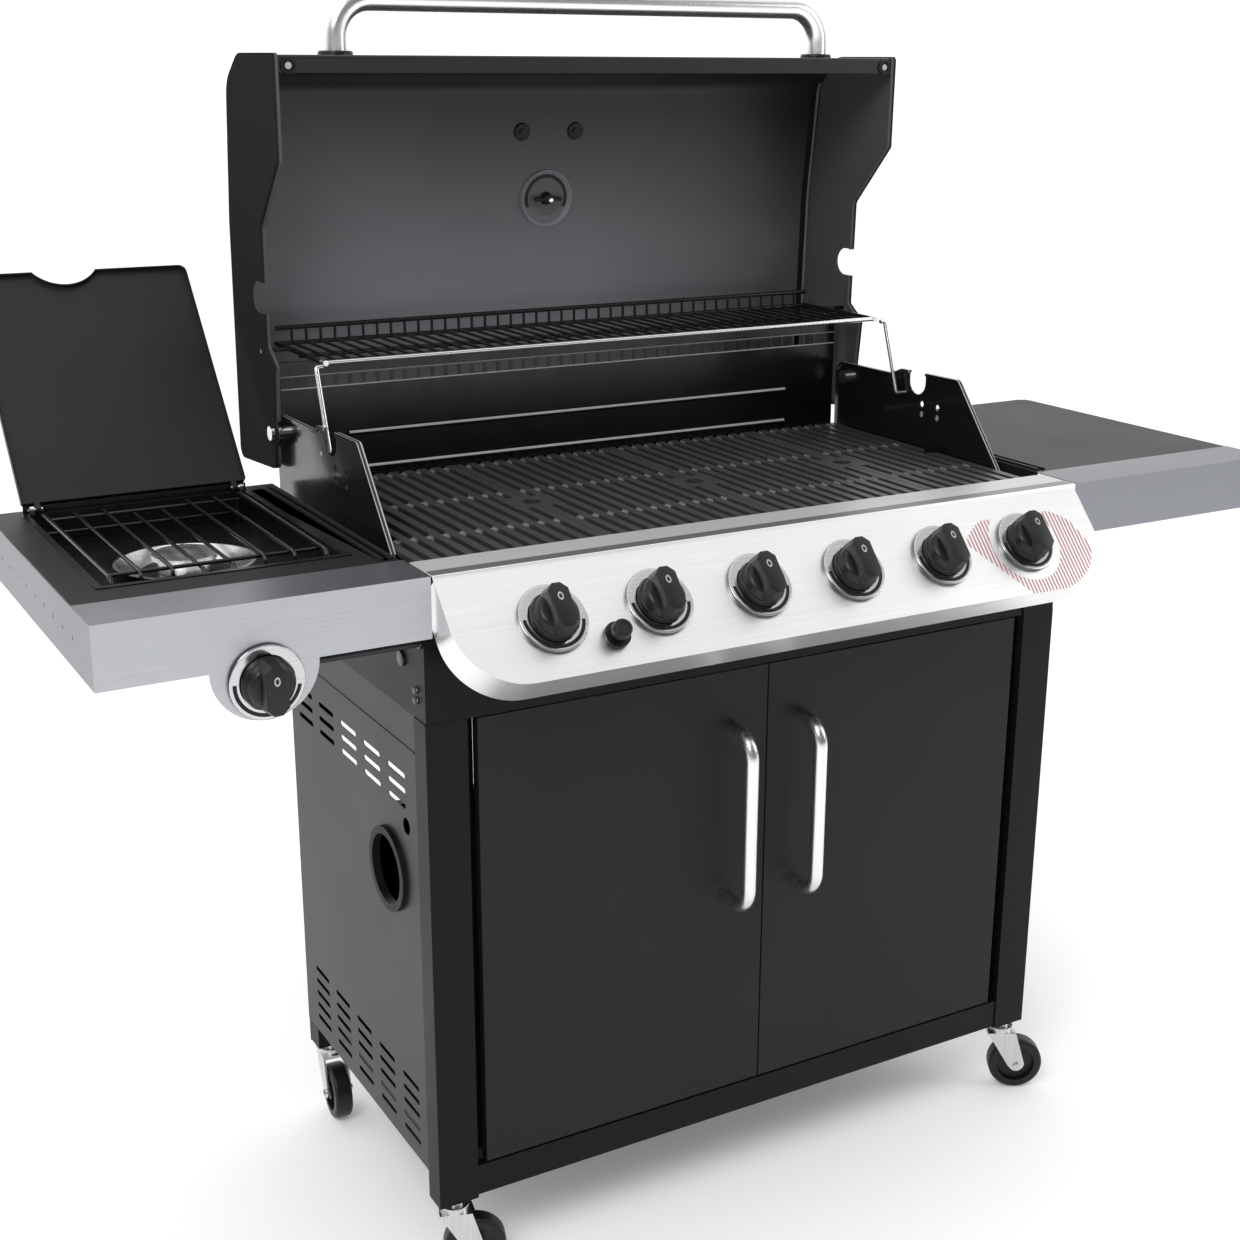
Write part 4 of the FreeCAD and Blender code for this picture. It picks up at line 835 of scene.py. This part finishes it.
def make_gauge():
    """A dial case outside the lid, and a dished washer with a wing nut inside it, with a black ring of painted
    shade in the dish.
    """
    case = add_rod("case", (0, 0, -0.4 * MM), (0, 0, -15 * MM), 34 * MM, 96)
    bevel_edges(case, lambda mid, way: mid.z < -14.9 * MM, 1.6 * MM)
    pick(case, lambda mid, normal: normal.z < -0.99 and mid.xy.length < MM)
    inset(2 * MM)
    push(z=9.5 * MM)
    put_down()
    paint_piece(case, "bezel_chrome", "dial_white")
    paint_faces(case, 1, lambda mid, normal: normal.z < -0.9 and mid.z > -6 * MM and mid.xy.length < 20 * MM)
    post = add_rod("post", (0, 0, -5 * MM), (0, 0, -10.5 * MM), 1.5 * MM, 24, tip=1.3 * MM)
    paint_piece(post, "bezel_chrome")
    lens = add_rod("lens", (0, 0, -12.4 * MM), (0, 0, -13.2 * MM), 30.3 * MM, 96)
    bevel_edges(lens, lambda mid, way: mid.z < -13.1 * MM, 0.3 * MM, 2)
    paint_piece(lens, "lens_glass")
    dish = add_rod("dish", (0, 0, 1.2 * MM), (0, 0, 6 * MM), 40 * MM, 96, tip=38.5 * MM)
    pick(dish, lambda mid, normal: normal.z > 0.99 and mid.xy.length < MM)
    inset(1 * MM)
    inset(5 * MM)
    bpy.ops.transform.translate(value=(0, 0, -4 * MM))
    inset(5 * MM)
    put_down()
    paint_piece(dish, "dish_grey", "print_black", "washer_grey")
    # Painted shade: the flat ring on the dish's floor is black, for the dark of the recess round the washer.
    paint_faces(dish, 1, lambda mid, normal: mid.z < 2.1 * MM and mid.xy.length > 20 * MM)
    paint_faces(dish, 2, lambda mid, normal: mid.z > 1.5 * MM and mid.xy.length < 5 * MM)
    wings = add_block("wings", (-21 * MM, -2.2 * MM, 6 * MM), (21 * MM, 2.2 * MM, 13 * MM))
    bevel_edges(wings, lambda mid, way: abs(mid.x) > 20.9 * MM and abs(way.y) > 0.7, 3 * MM)
    nut = add_rod("nut", (0, 0, 2 * MM), (0, 0, 13.5 * MM), 9 * MM, 32, tip=6 * MM)
    bevel_edges(nut, lambda mid, way: mid.z > 13.4 * MM, 1 * MM)
    for piece in (wings, nut):
        paint_piece(piece, "print_black")
    stud = add_rod("stud", (0, 0, 10 * MM), (0, 0, 19 * MM), 3.4 * MM, 24)
    bevel_edges(stud, lambda mid, way: mid.z > 18.9 * MM, 0.8 * MM)
    paint_piece(stud, "bright_wire")
    gauge = join("gauge", [case, post, lens, dish, wings, nut, stud])
    hand_over(settle(gauge, lid_seat()), "lid", "bezel_chrome", "thermometer_case")


def make_lid_fittings():
    """Black collars round the handle's feet, sunk corner screws, push nuts and a blank badge."""
    low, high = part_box("lid_handle")
    radius = (high.y - low.y) / 2
    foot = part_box("lid_shell")[1].z - 2 * MM
    middle = (low.y + high.y) / 2
    collar = add_rod("collar", (high.x - radius, middle, foot), (high.x - radius, middle, foot + 7 * MM),
                     21 * MM, 64)
    bevel_edges(collar, lambda mid, way: mid.z > foot + 6.9 * MM, 3 * MM, 4)
    paint_piece(collar, "knob_black")
    collars = [collar, twin(collar, "collar_twin", Matrix.Translation((low.x - high.x + 2 * radius, 0, 0)))]

    start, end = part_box("lid_fittings")
    corner = Vector((end.x - 7 * MM, start.y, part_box("lid_ends")[1].z - 14 * MM))
    sunk = add_rod("sunk_ring", corner + Vector((0, 3 * MM, 0)), corner, 9.5 * MM, 48, tip=9 * MM)
    pick(sunk, lambda mid, normal: normal.y < -0.99 and (mid - corner).length < MM)
    inset(2 * MM)
    push(y=1.6 * MM)
    inset(3 * MM)
    push(y=-1.4 * MM)
    put_down()
    paint_piece(sunk, "print_black", "mark_pale")
    paint_faces(sunk, 1, lambda mid, normal: normal.y < -0.9 and (mid - corner).length < 2 * MM)
    screws = [sunk, twin(sunk, "sunk_twin", Matrix.Translation((-2 * corner.x, 0, 0)))]

    cap = add_rod("push_nut", (0, 0, 1.2 * MM), (0, 0, 4.6 * MM), 12 * MM, 48, tip=11.4 * MM)
    bevel_edges(cap, lambda mid, way: mid.z > 4.5 * MM, 1.2 * MM)
    pick(cap, lambda mid, normal: normal.z > 0.99 and mid.xy.length < MM)
    inset(6 * MM)
    push(z=2 * MM)
    put_down()
    paint_piece(cap, "print_black")
    nuts = [twin(cap, "nut", lid_seat(x, 90)) for x in (-40.5, 40.5)]
    bpy.data.objects.remove(cap)

    plate = add_block("badge", (-56 * MM, -15 * MM, -3.6 * MM), (56 * MM, 15 * MM, -0.6 * MM))
    bevel_edges(plate, lambda mid, way: abs(way.z) > 0.9, 5 * MM, 5)
    bevel_edges(plate, lambda mid, way: mid.z < -3.5 * MM, 0.8 * MM)
    pick(plate, lambda mid, normal: normal.z < -0.99)
    inset(2.5 * MM)
    push(z=0.7 * MM)
    put_down()
    paint_piece(plate, "bezel_chrome")
    settle(plate, lid_seat(0, 90))
    fittings = join("lid_trim", collars + screws + nuts + [plate])
    hand_over(fittings, "lid", "bezel_chrome", "lid_fittings")


def make_end_seams():
    """The folded joint between the lid's back wall and each end: a black strip of painted shadow in the groove and
    a grey strip of painted highlight on the bend.
    """
    low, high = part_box("lid_shell")
    source = frame["nodes"]["lid_shell"]
    strips = []
    # Painted shadow and highlight: a black strip for the groove, and a grey one beside it for the bend.
    for start, end, finish, lift in ((428 * MM, 437 * MM, "print_black", 0.6 * MM),
                                     (437 * MM, 440.5 * MM, "dish_grey", 1.6 * MM)):
        strip = source.copy()
        strip.data = source.data.copy()
        strip.name = "seam"
        strip.parent = None
        bpy.context.scene.collection.objects.link(strip)
        pick(strip, lambda mid, normal: True)
        bpy.ops.mesh.remove_doubles(threshold=0.00001)
        bpy.ops.mesh.bisect(plane_co=(start, 0, 0), plane_no=(1, 0, 0), clear_inner=True)
        bpy.ops.mesh.select_all(action="SELECT")
        bpy.ops.mesh.bisect(plane_co=(end, 0, 0), plane_no=(1, 0, 0), clear_outer=True)
        put_down()
        pick(strip, lambda mid, normal: normal.y > -0.25 or mid.z > high.z - 34 * MM or mid.z < high.z - 370 * MM)
        bpy.ops.mesh.delete(type="FACE")
        put_down()
        solid = strip.modifiers.new("wall", "SOLIDIFY")
        solid.thickness = lift
        solid.offset = 1
        hold(strip)
        bpy.ops.object.modifier_apply(modifier=solid.name)
        strip.data.materials.clear()
        paint_piece(strip, finish)
        strips += [strip, twin(strip, "seam_twin", Matrix.Scale(-1, 4, (1, 0, 0)))]
        hold(strips[-1])
        bpy.ops.object.mode_set(mode="EDIT")
        bpy.ops.mesh.select_all(action="SELECT")
        bpy.ops.mesh.normals_make_consistent(inside=False)
        put_down()
    hand_over(join("lid_end_seams", strips), "lid", "lid_charcoal")


# ---------- side burner ----------

def make_burner_wires():
    """The side burner's wire grate: two bent side wires, cross wires at two heights and six fingers.

    The two middle fingers are lower, and clear the finger notch's hem when the side lid is shut.
    """
    low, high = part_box("side_burner_grate")
    radius = 2.8 * MM
    thin = 2.2 * MM
    floor = low.z + 0.5 * MM
    level = high.z - 3.2 * MM
    left, right = low.x + radius, high.x - radius
    front, back = low.y + radius, high.y - radius
    wires = []
    for x in (left, right):
        wires.append(add_bent_bar("side_wire", [(x, front, floor), (x, front, level), (x, back, level),
                                                (x, back, floor)], 9 * MM, radius, 20))
    for y, z in ((front + 22 * MM, level - 3 * MM), (back - 22 * MM, level - 3 * MM),
                 (front + 3 * MM, floor + 14 * MM), (back - 3 * MM, floor + 14 * MM)):
        cross = add_rod("cross_wire", (left, y, z), (right, y, z), thin, 16)
        bevel_edges(cross, lambda mid, way: not low.x + 6 * MM < mid.x < high.x - 6 * MM, 0.8 * MM, 2)
        wires.append(cross)
    for i in range(1, 7):
        x = left + (right - left) * i / 7
        top = level - 5.5 * MM if i in (3, 4) else level
        wires.append(add_bent_bar("finger", [(x, front + 8 * MM, level - 14 * MM), (x, front + 8 * MM, top),
                                             (x, back - 8 * MM, top), (x, back - 8 * MM, level - 14 * MM)],
                                  7 * MM, thin, 16))
    for wire in wires:
        paint_piece(wire, "wire_black")
    hand_over(join("burner_wires", wires), BODIES["side_burner_grate"], "wire_black", "side_burner_grate")


# ---------- small fixings ----------

def make_fixings():
    """A hinge strip with its screws behind the side lid, and round-headed bolts in the upper side plates."""
    start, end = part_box("side_lid")
    hinge = Vector(JOINTS["side_lid_hinge"]["pos_m"])
    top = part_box("shelf_left_top")[1].z - 3 * MM
    strip = add_block("strip", (start.x + 1 * MM, hinge.y + 7.8 * MM, top),
                      (end.x - 1 * MM, hinge.y + 9.2 * MM, hinge.z + 2.9 * MM))
    bevel_edges(strip, lambda mid, way: abs(way.x) > 0.9 and mid.z > hinge.z, 0.5 * MM, 2)
    paint_piece(strip, "wire_black")
    pieces = [strip]
    for x in (start.x + 9 * MM, end.x - 9 * MM):
        head = add_rod("head", (x, hinge.y + 8 * MM, hinge.z - 2 * MM), (x, hinge.y + 5.2 * MM, hinge.z - 2 * MM),
                       3 * MM, 24)
        bevel_edges(head, lambda mid, way: mid.y < hinge.y + 5.3 * MM, 1.2 * MM)
        pieces.append(paint_piece(head, "bright_wire"))
    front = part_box("cart_legs")[0].y
    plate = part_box("side_panel_right")[1].x
    for side in (-1, 1):
        for y, z, radius, finish in ((24, 742, 4.4, "washer_grey"), (24, 730, 4.4, "washer_grey"),
                                     (300, 760, 5, "washer_grey"), (60, 768, 9, "wire_black"),
                                     (9, 800, 7, "wire_black")):
            centre = Vector((side * (plate - 0.2 * MM), front + y * MM, z * MM))
            out = Vector((side, 0, 0))
            bolt = add_rod("bolt", centre, centre + out * 2.6 * MM, radius * MM, 32)
            tip = centre.x + side * 2.5 * MM
            bevel_edges(bolt, lambda mid, way: side * mid.x > side * tip, 1.2 * MM)
            pieces.append(paint_piece(bolt, finish))
    hand_over(join("small_fixings", pieces), "root", "bright_wire")


# ---------- handles ----------

def add_bent_bar(name, points, bend, radius, sides=32):
    """A round bar: a disc extruded along the runs and spun round the bends."""
    points = [Vector(point) for point in points]
    clear_selection()
    first = points[1] - points[0]
    bpy.ops.mesh.primitive_circle_add(vertices=sides, radius=radius, fill_type="NGON", location=points[0],
                                      rotation=first.to_track_quat("Z", "Y").to_euler())
    bar = new_piece(name)
    bpy.ops.object.mode_set(mode="EDIT")
    bpy.ops.mesh.select_all(action="SELECT")
    here = points[0]
    for before, corner, after in zip(points, points[1:], points[2:]):
        inward = (corner - before).normalized()
        outward = (after - corner).normalized()
        turn = inward.angle(outward)
        start = corner - inward * bend * math.tan(turn / 2)
        push(*(start - here))
        axis = inward.cross(outward).normalized()
        centre = start + axis.cross(inward) * bend
        bpy.ops.mesh.spin(steps=10, angle=-turn, center=centre, axis=axis)
        here = corner + outward * bend * math.tan(turn / 2)
    push(*(points[-1] - here))
    bpy.ops.mesh.select_all(action="SELECT")
    bpy.ops.mesh.normals_make_consistent(inside=False)
    put_down()
    return bar


def make_handles():
    """The lid's long handle and the two door handles, in bent bar."""
    low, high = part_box("lid_handle")
    radius = (high.y - low.y) / 2
    y = (low.y + high.y) / 2
    z = high.z - radius
    left, right = low.x + radius, high.x - radius
    bar = add_bent_bar("lid_grab_bar", [(left, y, low.z), (left, y, z), (right, y, z), (right, y, low.z)],
                       44 * MM, radius, 40)
    paint_piece(bar, "handle_steel")
    hand_over(bar, "lid", "handle_steel", "lid_handle")
    for side in SIDES:
        node = "door_handle_" + side
        low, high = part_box(node)
        radius = (high.x - low.x) / 2
        x = (low.x + high.x) / 2
        y = low.y + radius
        foot, top = low.z + radius, high.z - radius
        bar = add_bent_bar(node + "_bar", [(x, high.y, foot), (x, y, foot), (x, y, top), (x, high.y, top)],
                           30 * MM, radius)
        paint_piece(bar, "handle_steel_upright")
        hand_over(bar, "door_" + side, "handle_steel", node)


# ---------- sheet metal and castings ----------

def make_softened():
    """Folded sheet and cast pieces with eased edges."""
    for node, width, segments in (
            ("cooking_grates", 2.2 * MM, 2), ("control_panel", 0.8 * MM, 2), ("door_left", 1.2 * MM, 3),
            ("door_right", 1.2 * MM, 3), ("shelf_fascias", 0.8 * MM, 2), ("shelf_left_top", 0.5 * MM, 2),
            ("shelf_right_top", 0.5 * MM, 2), ("side_lid", 1.0 * MM, 2), ("cart_legs", 1.0 * MM, 2),
            ("cart_rails", 0.6 * MM, 2), ("grease_tray", 0.6 * MM, 2), ("firebox_sides", 0.7 * MM, 2),
            ("lid_ends", 0.8 * MM, 2), ("side_panel_left", 0.5 * MM, 2), ("side_panel_right", 0.5 * MM, 2)):
        softened(node, BODIES[node], width, segments, PAINTS.get(node))


make_knobs()
make_igniter()
make_handles()
make_gauge()
make_lid_fittings()
make_end_seams()
make_burner_wires()
make_fixings()
make_softened()
